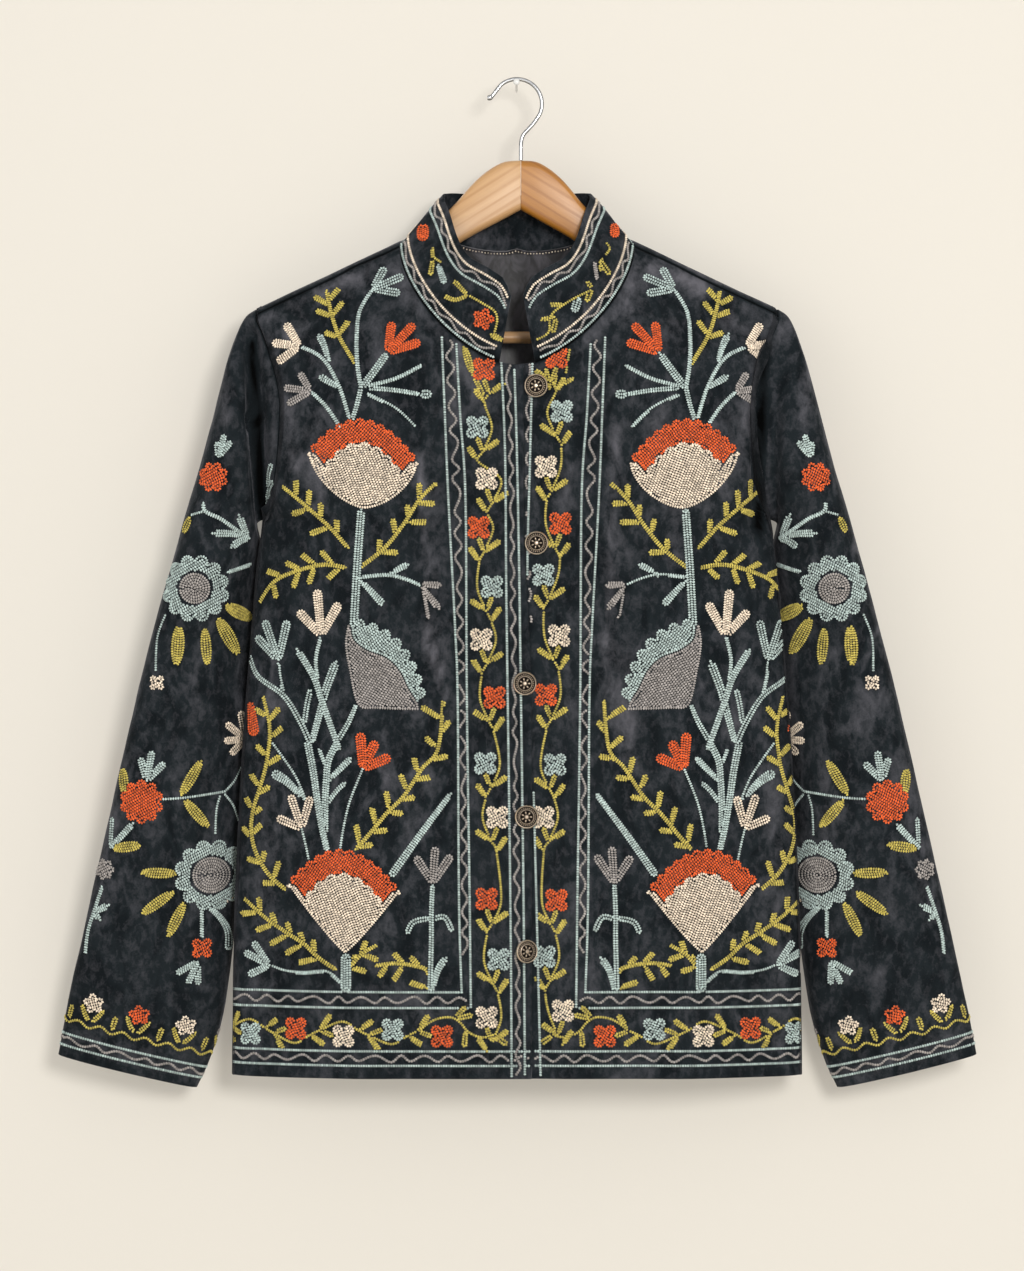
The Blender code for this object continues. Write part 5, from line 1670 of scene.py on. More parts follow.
def drawn_flower(row, turn=0.5):
    """Round petals about a heart, filled with slanting rows."""
    centre = Vector(row.centre)
    petals = filled_rows(lobed(centre, row.radius, row.lobes, turn), PETAL_SLANT)
    if not row.heart_radius:
        return sewn(row.thread, petals)
    petals = kept_outside(petals, centre, row.heart_radius + HEART_GAP)
    return sewn(row.heart, ring_rows(centre, row.heart_radius)) + sewn(row.thread, petals)


def drawn_fan(row):
    """A cup with a scalloped rim between two wings, and a scalloped crown round it."""
    a, b, top, bottom = (Vector(point) for point in row[:4])
    middle, across = (a + b) / 2, (b - a) / 2
    up = (top - bottom).normalized()
    crown, depth = (top - middle).dot(up), (middle - bottom).dot(up)

    def at(t, height):
        return middle + across * t + up * height

    def high(t):
        return crown * max(0.0, 1 - t * t) ** FAN_CROWN_POWER

    def rim(t):
        if abs(t) < FAN_WING:
            return crown * FAN_RIM * (1 - 2 * (t / FAN_WING) ** 2)
        return min(0.0, crown * FAN_RIM * ((abs(t) - FAN_WING) / FAN_WING_RISE - 1))

    steps = [k / 40 for k in range(-40, 41)]
    wing = [t for t in steps if t >= FAN_WING]
    lip = scalloped([at(t, rim(t) - 2.4) for t in steps if abs(t) < FAN_WING], *FAN_LIP)
    cup = [at(t, -depth * (1 - abs(t) ** row.power) ** row.fullness) for t in steps]
    cup += [at(t, rim(t)) for t in wing[::-1]] + lip[::-1] + [at(-t, rim(t)) for t in wing]
    edge = scalloped([at(t, high(t) - 3.0) for t in steps if abs(t) < 0.95], *FAN_CROWN)
    crest = edge + [at(t, rim(t) + 0.5) for t in steps[::-1] if abs(t) < 0.88]
    return sewn("cream", filled_rows(cup, CUP_SLANT)) + sewn("rust", filled_rows(crest, CROWN_SLANT))


def drawn_half_fan():
    """A quarter disc with a scalloped edge, which is broadest at its top."""
    edge, near = curve(HALF_FAN_EDGE, 0.5), curve(HALF_FAN_NEAR)
    outer = scalloped([point - out * 3.4 for point, out in zip(edge, sideways(edge))], *HALF_FAN_LOBES)
    parts = sewn("sky", filled_rows(outer + near[::-1], HALF_EDGE_SLANT))
    return parts + sewn("mauve", filled_rows(curve(HALF_FAN_BODY) + near[::-1], HALF_BODY_SLANT))


def leaned(start, place, lean):
    return start + Vector((lean * place[0], place[1]))


def drawn_vine(blooms, middle):
    """Flowers on short stems from a vine that winds past them; blooms are (thread, side, along)."""
    parts = []
    vine = []
    for thread, side, along in blooms:
        lean = 1 if side > middle else -1
        centre = Vector((side, along))
        parts += drawn_flower(Flower(thread, centre, BLOOM_RADIUS, 4, thread, 0.0))
        joint = leaned(centre, VINE_JOINT, lean)
        vine += [leaned(centre, VINE_BEFORE, lean), joint, leaned(joint, VINE_AFTER, lean)]
        for foot, tip in VINE_LEAVES:
            leaf = (leaned(joint, foot, lean), leaned(joint, tip, lean))
            parts += drawn_limb(Limb("olive", *VINE_LEAF, leaf))
        parts += drawn_limb(Limb("olive", *VINE_STEM, (joint, leaned(centre, VINE_STEM_TOP, lean))))
    return parts + drawn_limb(Limb("olive", *VINE_LINE, vine[1:-1]))


def waved(line, height, room=None):
    """The line with soft uneven waves to both sides of it, as far as there is room."""
    if not height:
        return line
    row = []
    lengths = running_lengths(line)
    for point, out, length in zip(line, sideways(line), lengths):
        uneven = noise.noise(Vector((length / WAVE_DRIFT, height, 0)))
        sway = math.sin(2 * math.pi * length / WAVE_LENGTH + uneven * 2.2) * height * (1 + uneven * 0.5)
        if room:
            free = room[0] + (room[1] - room[0]) * length / lengths[-1]
            sway = max(-free, min(free, sway))
        row.append(point + out * sway)
    return row


class Stitching:
    """Chain stitches of one piece; no two of them lie on each other."""

    def __init__(self, settings):
        self.settings = settings
        self.places = []
        self.turns = []
        self.threads = []
        self.cells = {}
        self.random = random.Random(settings.seed)

    def crowded(self, place, thread):
        cell = [math.floor(value / APART) for value in place]
        for i in (-1, 0, 1):
            for j in (-1, 0, 1):
                for k in (-1, 0, 1):
                    for other, colour in self.cells.get((cell[0] + i, cell[1] + j, cell[2] + k), ()):
                        if (other - place).length < (CROWDING if colour == thread else APART):
                            return True
        self.cells.setdefault(tuple(cell), []).append((place, thread))
        return False

    def add(self, place, normal, run, thread):
        run = (run - normal * run.dot(normal)).normalized()
        if run.length == 0 or self.crowded(place, thread):
            return
        self.places.append(place)
        run = Matrix.Rotation(self.random.uniform(-1, 1) * TWIST, 3, normal) @ run
        self.turns.append(Matrix((run, normal.cross(run), normal)).transposed().to_quaternion())
        shade = 1 + self.random.uniform(-1, 0.7) * self.settings.shade
        self.threads.append([value * shade for value in getattr(self.settings, thread)] + [1])

    def row(self, spots, thread):
        """Evenly spaced stitches along a line of spots; the line may have gaps."""
        pitch = self.settings.length
        left = pitch * self.random.random()
        for a, b in zip(spots, spots[1:]):
            if a is None or b is None:
                left = pitch / 2
                continue
            run = b[0] - a[0]
            length = run.length
            if length > pitch * 4:
                continue
            while left <= length:
                share = left / length
                self.add(a[0].lerp(b[0], share), a[1].lerp(b[1], share).normalized(), run, thread)
                left += pitch
            left -= length

    def draw(self, parts, spot):
        for thread, line in parts:
            self.row([spot(point.x, point.y) for point in line], thread)


def make_link():
    """One link of chain, closed all round: pointed ends, and a groove along its top.

    Its points carry how far they stand up, which sets where painted shade darkens the thread.
    """
    link = bmesh.new()
    tail = link.verts.new((LINK_TAIL, 0, LINK_TIP_HEIGHT))
    head = link.verts.new((LINK_HEAD, 0, LINK_TIP_HEIGHT))
    section = [link.verts.new((LINK_WIDEST, y, z)) for y, z in LINK_SECTION]
    for a, b in zip(section, section[1:] + section[:1]):
        link.faces.new((tail, a, b))
        link.faces.new((head, b, a))
    face_outwards(link)
    mesh = mesh_of("chain_link", link)
    note(mesh, "rise", [vertex.co.z for vertex in mesh.vertices])
    return placed_object("chain_link", mesh)


def new_tree(name, inputs):
    """A geometry tree with named inputs, and its two ends."""
    tree = bpy.data.node_groups.new(name, "GeometryNodeTree")
    tree.interface.new_socket("Geometry", in_out="INPUT", socket_type="NodeSocketGeometry")
    for label, kind in inputs:
        tree.interface.new_socket(label, in_out="INPUT", socket_type=f"NodeSocket{kind}")
    tree.interface.new_socket("Geometry", in_out="OUTPUT", socket_type="NodeSocketGeometry")
    return tree, tree.nodes.new("NodeGroupInput"), tree.nodes.new("NodeGroupOutput")


def end_tree(tree, instances, material, result):
    """Makes the tree's instances real, all in one material."""
    real = add_node(tree, "GeometryNodeRealizeInstances", {"Geometry": instances})
    finish = add_node(tree, "GeometryNodeSetMaterial",
                      {"Geometry": real.outputs["Geometry"], "Material": material})
    connect(tree, result, {"Geometry": finish.outputs["Geometry"]})


def stitch_tree():
    """Lays a link on every point, turned by the point's own attribute."""
    tree, given, result = new_tree("chain_stitches", (
        ("Link", "Object"), ("Length", "Float"), ("Width", "Float"), ("Height", "Float"),
        ("Thread", "Material")))
    given = given.outputs
    link = add_node(tree, "GeometryNodeObjectInfo", {"Object": given["Link"]})
    turn = add_node(tree, "GeometryNodeInputNamedAttribute", {"Name": "turn"}, data_type="QUATERNION")
    size = add_node(tree, "ShaderNodeCombineXYZ",
                    {"X": given["Length"], "Y": given["Width"], "Z": given["Height"]})
    lay = add_node(tree, "GeometryNodeInstanceOnPoints", {
        "Points": given["Geometry"], "Instance": link.outputs["Geometry"],
        "Rotation": turn.outputs["Attribute"], "Scale": size.outputs["Vector"]})
    end_tree(tree, lay.outputs["Instances"], given["Thread"], result)
    return tree


def evaluated_mesh(holder):
    """The mesh that a holder comes to; the holder is removed."""
    depsgraph = bpy.context.evaluated_depsgraph_get()
    mesh = bpy.data.meshes.new_from_object(holder.evaluated_get(depsgraph), depsgraph=depsgraph)
    bpy.data.objects.remove(holder)
    return mesh


def plain_mesh(name, base, tree, values):
    """The tree's result on a base mesh, as a plain mesh of its own."""
    holder = placed_object(f"{name}_base", base)
    modifier = holder.modifiers.new(tree.name, "NODES")
    modifier.node_group = tree
    for item in tree.interface.items_tree:
        if item.in_out == "INPUT" and item.name in values:
            modifier[item.identifier] = values[item.name]
    mesh = evaluated_mesh(holder)
    mesh.name = name
    return mesh


def make_stitches(name, stitching, tree, link, thread, settings, scale):
    base = bpy.data.meshes.new(f"{name}_points")
    base.from_pydata(stitching.places, [], [])
    note(base, "turn", [value for turn in stitching.turns for value in turn], "QUATERNION")
    note(base, "thread", [value for colour in stitching.threads for value in colour], "FLOAT_COLOR")
    values = {"Link": link, "Length": settings.length * scale, "Width": settings.width * scale,
              "Height": settings.height * scale, "Thread": thread}
    made = placed_object(name, plain_mesh(name, base, tree, values))
    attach(made, BODY_NAME)
    return made


def body_band(facing, side):
    """The hem's band on one half of the body; it starts at the placket's middle or the back's."""
    first, origin = 0.0, 0.0
    if facing < 0:
        edge = lap_edge(HEM_Z)
        x = -edge if side < 0 else edge + LAP_CLEARANCE
        first = across_at(x, HEM_Z)
        origin = (side * MOTIF_MIDDLE - x) * 1000

    def point(across, z):
        return front_point(side, across, z) if facing < 0 else body_point(1, side, across, z)

    shares = [first + (1 - first) * k / HEM_COLUMNS for k in range(HEM_COLUMNS + 1)]
    heights = [HEM_Z + step * HEM_ROW for step in range(HEM_ROWS)]
    return Band([[point(across, z) for z in heights] for across in shares], origin)


def draw_hem(stitching, ground, band, corner, blooms, first):
    """Lines, waves and the vine along the hem; the upper lines start at the frame's corner."""
    def spot(along, height):
        return ground.near(band.place(along, height))

    def line(start, height):
        return curve(((start, height), (band.end, height)))

    start = band.start + 1
    upper = (sum(corner) / 2, (HEM_HEIGHTS["lower"] + HEM_HEIGHTS["upper"]) / 2)
    stitching.draw([("sky", line(start, HEM_HEIGHTS["edge"])), ("sky", line(start, HEM_HEIGHTS["line"])),
                    ("mauve", waved(line(start, HEM_HEIGHTS["wave"]), HEM_WAVE)),
                    ("sky", line(corner[1], HEM_HEIGHTS["lower"])),
                    ("sky", line(corner[0], HEM_HEIGHTS["upper"])),
                    ("mauve", waved(line(*upper), HEM_WAVE))], spot)
    flowers = []
    for k, thread in enumerate(blooms):
        flowers.append((thread, HEM_HEIGHTS["vine"] + HEM_SWAY[k % 2], first + HEM_STEP * k))
    stitching.draw(drawn_vine(flowers, HEM_HEIGHTS["vine"] + 1.5),
                   lambda height, along: spot(along, height) if along < band.end - 2 else None)


@lru_cache(maxsize=None)
def front_parts():
    """All motifs of a front between its frame and the side seam."""
    return (drawn_all(drawn_tulip, FRONT_TULIPS) + drawn_all(drawn_fan, FANS) + drawn_half_fan()
            + drawn_all(drawn_limb, FRONT_LIMBS) + drawn_all(drawn_sprig, FRONT_SPRIGS))


def midway(first, second):
    return [((a[0] + b[0]) / 2, (a[1] + b[1]) / 2) for a, b in zip(first, second)]


def front_stitching(name, side, settings):
    ground = Ground(f"front_{name}_cloth")
    stitching = Stitching(settings)

    def spot(out, down):
        x, z = MOTIF_MIDDLE + side * out / 1000, -down / 1000
        if side > 0 and x < lap_edge(z) + LAP_CLEARANCE:
            return None
        if any(math.hypot(x - row.x, z - row.z) < BUTTON_CLEARANCE for row in BUTTONS):
            return None
        return ground.under(x, z, -1)

    frame_wave = waved(curve(midway(FRAME_OUTER, FRAME_INNER)), FRAME_WAVE, FRAME_ROOM)
    lines = [("sky", curve(FRAME_OUTER)), ("sky", curve(FRAME_INNER)), ("mauve", frame_wave),
             ("sky", curve(EDGE_OUTER[side]))]
    if side < 0:
        lines.append(("sky", curve(EDGE_INNER)))
    between = midway(EDGE_INNER, EDGE_OUTER[side]) if side < 0 else EDGE_HIDDEN
    lines.append(("mauve", waved(curve(between), EDGE_WAVE)))
    stitching.draw(lines, spot)
    blooms = [(row.thread, row.out, row.down) for row in PLACKET[side]]
    leaves = drawn_all(drawn_leaf, PLACKET_LEAVES[side]) + drawn_all(drawn_limb, CORNER_LIMBS)
    stitching.draw(drawn_vine(blooms, PLACKET_MIDDLE[side]) + leaves + front_parts(), spot)
    draw_hem(stitching, ground, body_band(-1, side), (FRAME_OUTER[-1][0], FRAME_INNER[-1][0]), HEM_BLOOMS,
             HEM_FIRST[-1])
    return stitching


def back_stitching(settings):
    """The back repeats the fronts' motifs and the hem's band."""
    ground = Ground("back_panel_cloth")
    stitching = Stitching(settings)
    for side in SIDES.values():
        stitching.draw(front_parts(), lambda out, down: ground.under(side * out / 1000, -down / 1000, 1))
        draw_hem(stitching, ground, body_band(1, side), (0, 0), HEM_BLOOMS + HEM_BLOOMS[:1], HEM_FIRST[1])
    return stitching


def sleeve_stitching(name, side, settings):
    ground = Ground(f"sleeve_{name}_cloth")
    stitching = Stitching(settings)
    rings = cloth_nets()[3][side]
    around = range(len(rings[0]) + 1)
    band = Band([[ring[k % len(ring)] for ring in reversed(rings[-CUFF_ROWS:])] for k in around])

    def cuff(along, height):
        return ground.near(band.place(along, height))

    for thread, height, waves in CUFF_LINES:
        stitching.draw([(thread, waved(curve(((0, height), (band.end, height))), waves))], cuff)
    stitching.draw(drawn_cuff(band.end), cuff)
    parts = (drawn_all(drawn_flower, SLEEVE_FLOWERS) + drawn_all(drawn_tulip, SLEEVE_TULIPS)
             + drawn_all(drawn_leaf, SLEEVE_LEAVES) + drawn_all(drawn_limb, SLEEVE_LIMBS))
    for facing in (-1, 1):
        stitching.draw(parts, lambda out, down: ground.under(
            side * out / 1000 + SLEEVE_SHIFT[side], -down / 1000, facing))
    return stitching


def drawn_cuff(length):
    """A looping vine round the cuff, with a half-open flower in every loop and a bud between."""
    count = round(length / CUFF_PITCH)
    step = length / count
    parts = []
    for k in range(count):
        middle = CUFF_FIRST + step * k
        thread = CUFF_BLOOMS[k % len(CUFF_BLOOMS)]
        parts += drawn_flower(Flower(thread, (middle, CUFF_BLOOM), CUFF_BLOOM_RADIUS, 5, thread, 0.0))
        for lean in (-1, 1):
            leaf = [(middle + lean * side, CUFF_VINE + height) for side, height in CUFF_LEAF]
            parts += drawn_limb(Limb("olive", 4.9, 3.0, leaf))
        bud = [(middle + step / 2 + side, CUFF_VINE + height) for side, height in CUFF_BUD]
        parts += drawn_limb(Limb("olive", 4.0, 5.2, bud))
    vine = [(k * step / 4, CUFF_VINE + CUFF_SWAY[k % 2]) for k in range(count * 4 + 1)]
    return parts + drawn_limb(Limb("olive", *VINE_LINE, vine))


def collar_stitching(settings):
    ground = Ground("collar_cloth")
    stitching = Stitching(settings)
    columns = cloth_nets()[2]
    for rows, step in ((COLLAR_BASE_LINES, 1), (COLLAR_TOP_LINES, -1)):
        band = Band([column[::step] for column in columns])
        for thread, height, waves in rows:
            line = curve(((band.start + COLLAR_MARGIN, height), (band.end - COLLAR_MARGIN, height)))
            stitching.draw([(thread, waved(line, waves))],
                           lambda along, inward: ground.near(band.place(along, inward)))
    for side, rows in COLLAR_LIMBS.items():
        parts = drawn_all(drawn_limb, rows) + (drawn_flower(COLLAR_FLOWER) if side < 0 else [])
        stitching.draw(parts, lambda out, down: ground.under(
            MOTIF_MIDDLE + side * out / 1000, -down / 1000, -1))
    return stitching


def lining_stitching(settings):
    """Small hand stitches that hold the lining's top edge."""
    ground = Ground("back_lining_cloth", 1)
    stitching = Stitching(settings)
    for k in range(LINING_STITCHES):
        x = -LINING_REACH + 2 * LINING_REACH * k / (LINING_STITCHES - 1)
        z = NECK_BACK_Z + 0.004
        while ground.under(x, z, -1) is None and z > LINING_END_Z:
            z -= 0.0005
        found = ground.under(x, z - LINING_INSET, -1)
        if found:
            stitching.add(found[0], found[1], Vector((1, 0, 0)), "cream")
    return stitching


def make_embroidery(settings):
    tree = stitch_tree()
    link = make_link()
    thread = thread_material()
    pieces = {f"front_{name}": front_stitching(name, side, settings) for name, side in SIDES.items()}
    pieces["back_panel"] = back_stitching(settings)
    pieces["collar"] = collar_stitching(settings)
    pieces.update({f"sleeve_{name}": sleeve_stitching(name, side, settings) for name, side in SIDES.items()})
    pieces["back_lining"] = lining_stitching(settings)
    for name, stitching in pieces.items():
        scale = LINING_STITCH if name == "back_lining" else 1.0
        make_stitches(f"{name}_stitches", stitching, tree, link, thread, settings, scale)
    bpy.data.objects.remove(link)


def make_cloth(settings):
    velvet = velvet_material(settings)
    reverse = velvet_material(settings, "velvet_reverse", 0.6)
    satin = satin_material(settings)
    fronts, back, collar, sleeves = cloth_nets()
    net = Net()
    net.add("back_panel", back)
    net.add("collar", collar)
    for name, side in SIDES.items():
        net.add(f"front_{name}", fronts[side])
        net.add(f"sleeve_{name}", sleeves[side], ring=True)
    net.finish()
    crease_net(net, settings.unevenness)
    sewn_points = net.seams()
    seams = KDTree(len(sewn_points))
    for number, vertex in enumerate(sewn_points):
        seams.insert(vertex.co, number)
    seams.balance()
    for name in sorted(set(net.piece.values())):
        faces = {face: True for face, piece in net.piece.items() if piece == name}
        inside = velvet if name == "collar" else reverse
        made = make_piece(f"{name}_cloth", wall(faces, 0, CLOTH), (velvet, inside), name)
        mark_lie_and_painted_light(made.data, seams)
    lined = {}
    for face, piece in net.piece.items():
        place = face.calc_center_median()
        behind = piece == "back_panel" and place.y > 0
        if behind and abs(place.x) < LINING_HALF_WIDTH and place.z > LINING_END_Z:
            lined[face] = True
    shell = wall(lined, CLOTH + SEAM_GAP, LINING)
    make_piece("back_lining_cloth", shell, (satin, satin), "back_lining")
    net.mesh.free()


def mark_lie_and_painted_light(mesh, seams):
    """Notes the painted sheen and shade in streaks, the painted shade on a seam and the paler pile a little
    away from it.
    """
    amounts = []
    for vertex in mesh.vertices:
        away = seams.find(vertex.co)[2]
        painted_seam_shade = SEAM_PAINTED_SHADE * math.exp(-(away / SEAM_PAINTED_SHADE_WIDTH) ** 2)
        paler = SEAM_PALE * math.exp(-((away - SEAM_PALE_AWAY) / SEAM_PALE_WIDTH) ** 2)
        amounts.append(stroke_sum(PAINTED_SHEEN_AND_SHADE, vertex.co, vertex.normal) - (painted_seam_shade - paler))
    note(mesh, "lie", amounts)


def button_tree():
    """A button's body with a ring of beads and a ring of petals on its face."""
    tree, given, result = new_tree("button_relief", (
        ("Bead", "Object"), ("Beads", "Int"), ("Bead ring", "Float"), ("Petal", "Object"), ("Petals", "Int"),
        ("Petal ring", "Float"), ("Face", "Float"), ("Metal", "Material")))
    given = given.outputs
    join = add_node(tree, "GeometryNodeJoinGeometry", {"Geometry": given["Geometry"]})
    lift = add_node(tree, "ShaderNodeCombineXYZ", {"Z": given["Face"]})
    for part in ("Bead", "Petal"):
        circle = add_node(tree, "GeometryNodeMeshCircle",
                          {"Vertices": given[f"{part}s"], "Radius": given[f"{part} ring"]})
        source = add_node(tree, "GeometryNodeObjectInfo", {"Object": given[part]})
        place = add_node(tree, "GeometryNodeInputPosition")
        turn = add_node(tree, "FunctionNodeAlignRotationToVector", {"Vector": place.outputs["Position"]},
                        axis="X")
        lay = add_node(tree, "GeometryNodeInstanceOnPoints", {
            "Points": circle.outputs["Mesh"], "Instance": source.outputs["Geometry"],
            "Rotation": turn.outputs["Rotation"]})
        move = add_node(tree, "GeometryNodeTransform",
                        {"Geometry": lay.outputs["Instances"], "Translation": lift.outputs["Vector"]})
        tree.links.new(move.outputs["Geometry"], join.inputs["Geometry"])
    end_tree(tree, join.outputs["Geometry"], given["Metal"], result)
    return tree


def loose_solid(name, size):
    """A small rounded body for a ring on the button."""
    solid = bmesh.new()
    bmesh.ops.create_uvsphere(solid, u_segments=8, v_segments=6, radius=1)
    for vertex in solid.verts:
        vertex.co = Vector(value * part for value, part in zip(vertex.co, size))
    mesh = mesh_of(name, solid)
    note(mesh, "rubbed", [clamp(vertex.co.z / size[2] * 1.3) for vertex in mesh.vertices])
    return placed_object(name, mesh)


def make_buttons(settings):
    bronze = bronze_material(settings)
    tree = button_tree()
    bead = loose_solid("bead", BEAD_SIZE)
    petal = loose_solid("petal", PETAL_SIZE)
    profile = [(row.radius * BUTTON_RADIUS, row.height * BUTTON_RADIUS) for row in BUTTON_FACE]
    rubs = []
    for row in BUTTON_FACE:
        rubs += [row.rub] * (1 if row.radius == 0 else BUTTON_FACE_SIDES)
    values = {"Bead": bead, "Beads": settings.beads, "Bead ring": BUTTON_RADIUS * BEAD_RING, "Petal": petal,
              "Petals": PETALS, "Petal ring": BUTTON_RADIUS * PETAL_RING, "Face": BUTTON_RADIUS * FACE_HEIGHT,
              "Metal": bronze}
    upright = Matrix.Rotation(math.pi / 2, 4, "X")
    for number, row in enumerate(BUTTONS, 1):
        left = front_point(1, across_at(row.x, row.z), row.z)
        lift = (TURNED_STANDOFF if row.turn else BUTTON_STANDOFF) + (CLOTH + LAP_GAP if row.through else 0)
        body = mesh_of(f"button_{number}_body", turned_solid(profile, BUTTON_FACE_SIDES))
        note(body, "rubbed", rubs)
        mesh = plain_mesh(f"button_{number}_bronze", body, tree, values)
        head = bmesh.new()
        head.from_mesh(mesh)
        shank = turned_solid([(0, -lift), (SHANK_RADIUS, -lift), (SHANK_RADIUS, SHANK_TOP), (0, SHANK_TOP)],
                             SHANK_SIDES)
        place = Matrix.Translation((row.x, left.y - FOOT_GAP - lift, row.z))
        turn = Matrix.Rotation(math.radians(row.turn), 4, "Z")
        bmesh.ops.transform(head, matrix=place @ (turn @ upright), verts=head.verts[:])
        bmesh.ops.transform(shank, matrix=place @ upright, verts=shank.verts[:])
        shank.to_mesh(mesh)
        head.from_mesh(mesh)
        shank.free()
        make_piece(f"button_{number}_bronze", head, (bronze,), f"button_{number}", 35)
    bpy.data.objects.remove(bead)
    bpy.data.objects.remove(petal)


@lru_cache(maxsize=None)
def arm_table():
    """Stations of one arm, which follows the shoulder's inside to its end."""
    under = CLOTH * math.sqrt(1 + SHOULDER_SLOPE ** 2) + REST_GAP
    rows = list(ARM_NECK)
    for x, height in zip(ARM_STATIONS, ARM_HEIGHT):
        top = ridge_z(x) - under - (ARM_END_DROP if x == ARM_STATIONS[-1] else 0)
        rows.append(Arm(x, top, top - height))
    return tuple(rows)


def make_arm(name, side, wood):
    """Half of the hanger: a flat-sided board with round edges, cut square at the mitre."""
    solid = bmesh.new()
    rings = []
    for x in refined([row.x for row in arm_table()], ROW_PARTS):
        top, bottom = read(arm_table(), x, "top"), read(arm_table(), x, "bottom")
        place = side * x
        if x == 0:
            place = HANGER_X + side * MITRE_GAP / 2
        elif x < ARM_STATIONS[0]:
            place += HANGER_X * (1 - x / ARM_STATIONS[0])
        ring = []
        for centre, start in ((top - HANGER_HALF_THICKNESS, 0), (bottom + HANGER_HALF_THICKNESS, 180)):
            for k in range(ARM_FINE_POINTS + 1):
                angle = math.radians(start + 180 * k / ARM_FINE_POINTS)
                ring.append(solid.verts.new((place, HANGER_HALF_THICKNESS * math.cos(angle),
                                             centre + HANGER_HALF_THICKNESS * math.sin(angle))))
        rings.append(ring)
    for a, b in zip(rings, rings[1:]):
        for k in range(len(a)):
            m = (k + 1) % len(a)
            solid.faces.new((a[k], a[m], b[m], b[k]))
    solid.faces.new(rings[0])
    solid.faces.new(rings[-1])
    face_outwards(solid)
    make_piece(f"{name}_wood", solid, (wood,), name, 35)


def make_hanger(settings):
    pale = wood_material("pale_wood", settings.wood_pale, settings.wood_pale_grain, -GRAIN_SLOPE)
    amber = wood_material("amber_wood", settings.wood_amber, settings.wood_amber_grain, GRAIN_SLOPE)
    dowel = wood_material("bar_wood", settings.wood_pale, settings.wood_pale_grain, 0.0)
    make_arm("hanger_arm_right", -1, pale)
    make_arm("hanger_arm_left", 1, amber)
    end, edge = BAR_HALF_LENGTH, BAR_EDGE
    profile = [(0, -end), (BAR_RADIUS - edge, -end), (BAR_RADIUS, edge - end), (BAR_RADIUS, 0.0),
               (BAR_RADIUS, end - edge), (BAR_RADIUS - edge, end), (0, end)]
    solid = turned_solid(profile, BAR_FINE_SIDES)
    turn = Matrix.Translation((0, 0, BAR_Z)) @ Matrix.Rotation(math.pi / 2, 4, "Y")
    bmesh.ops.transform(solid, matrix=turn, verts=solid.verts[:])
    make_piece("hanger_bar_wood", solid, (dowel,), "hanger_bar", 35)


def make_hook(settings):
    """Bent wire with a ball at its free end: crook, turn back to the middle, stem down to the wood."""
    points = [(point.x, 0, point.y) for point in curve(HOOK_TIP, HOOK_STEP)]
    tip = len(points)
    for k in range(HOOK_ARC_POINTS * 2 + 1):
        angle = math.radians(HOOK_START + (HOOK_END - HOOK_START) * k / HOOK_ARC_POINTS / 2)
        points.append((HOOK_RADIUS * math.cos(angle), 0,
                       HOOK_WIRE / 2 - HOOK_RADIUS + HOOK_RADIUS * math.sin(angle)))
    end = points[-1]
    neck = ((end[0], end[2]),) + HOOK_NECK + ((HANGER_X, HOOK_STEM_Z),)
    points += [(point.x, 0, point.y) for point in curve(neck, HOOK_STEP)[1:]]
    points.append((HANGER_X, 0, ARM_NECK[0].top + SEAM_GAP))
    wire = bpy.data.curves.new("hanger_hook_steel", "CURVE")
    wire.dimensions = "3D"
    wire.bevel_depth = HOOK_WIRE / 2
    wire.bevel_resolution = 6
    wire.use_fill_caps = True
    spline = wire.splines.new("POLY")
    spline.points.add(len(points) - 1)
    for k, (target, point) in enumerate(zip(spline.points, points)):
        target.co = (*point, 1)
        away = (Vector(point) - Vector(points[0])).length / HOOK_WIRE
        target.radius = max(1.0, 1 + HOOK_BALL - (away - 0.6) ** 2 * 1.6) if k < tip else 1
    solid = bmesh.new()
    solid.from_mesh(evaluated_mesh(placed_object("hook_wire", wire)))
    bmesh.ops.remove_doubles(solid, verts=solid.verts[:], dist=1e-6)
    face_outwards(solid)
    make_piece("hanger_hook_steel", solid, (steel_material(settings),), "hanger_hook", 50)


def colour_setting(name, description, default):
    return bpy.props.FloatVectorProperty(name=name, description=description, default=default, subtype="COLOR",
                                         size=3, min=0.0, max=1.0)


def length_setting(name, description, default, least, most=10.0):
    return bpy.props.FloatProperty(name=name, description=description, default=default, min=least, max=most,
                                   subtype="DISTANCE", unit="LENGTH")


class JacketClothSettings(bpy.types.PropertyGroup):
    unevenness: length_setting("Unevenness", "How far the cloth's slight waves stand out", 0.0008, 0.0, 0.005)
    velvet_deep: colour_setting("Velvet, deep", "Pile that stands up and swallows the light",
                                (0.0055, 0.0078, 0.0097))
    velvet_mid: colour_setting("Velvet, middle", "The velvet's own slate blue", (0.0112, 0.0152, 0.0182))
    # The pale velvet is also the colour of the painted sheen on folds, shoulders and edges.
    velvet_pale: colour_setting("Velvet, pale", "Crushed pile that lies over", (0.102, 0.101, 0.117))
    lining: colour_setting("Lining", "The satin's grey", (0.036, 0.034, 0.040))


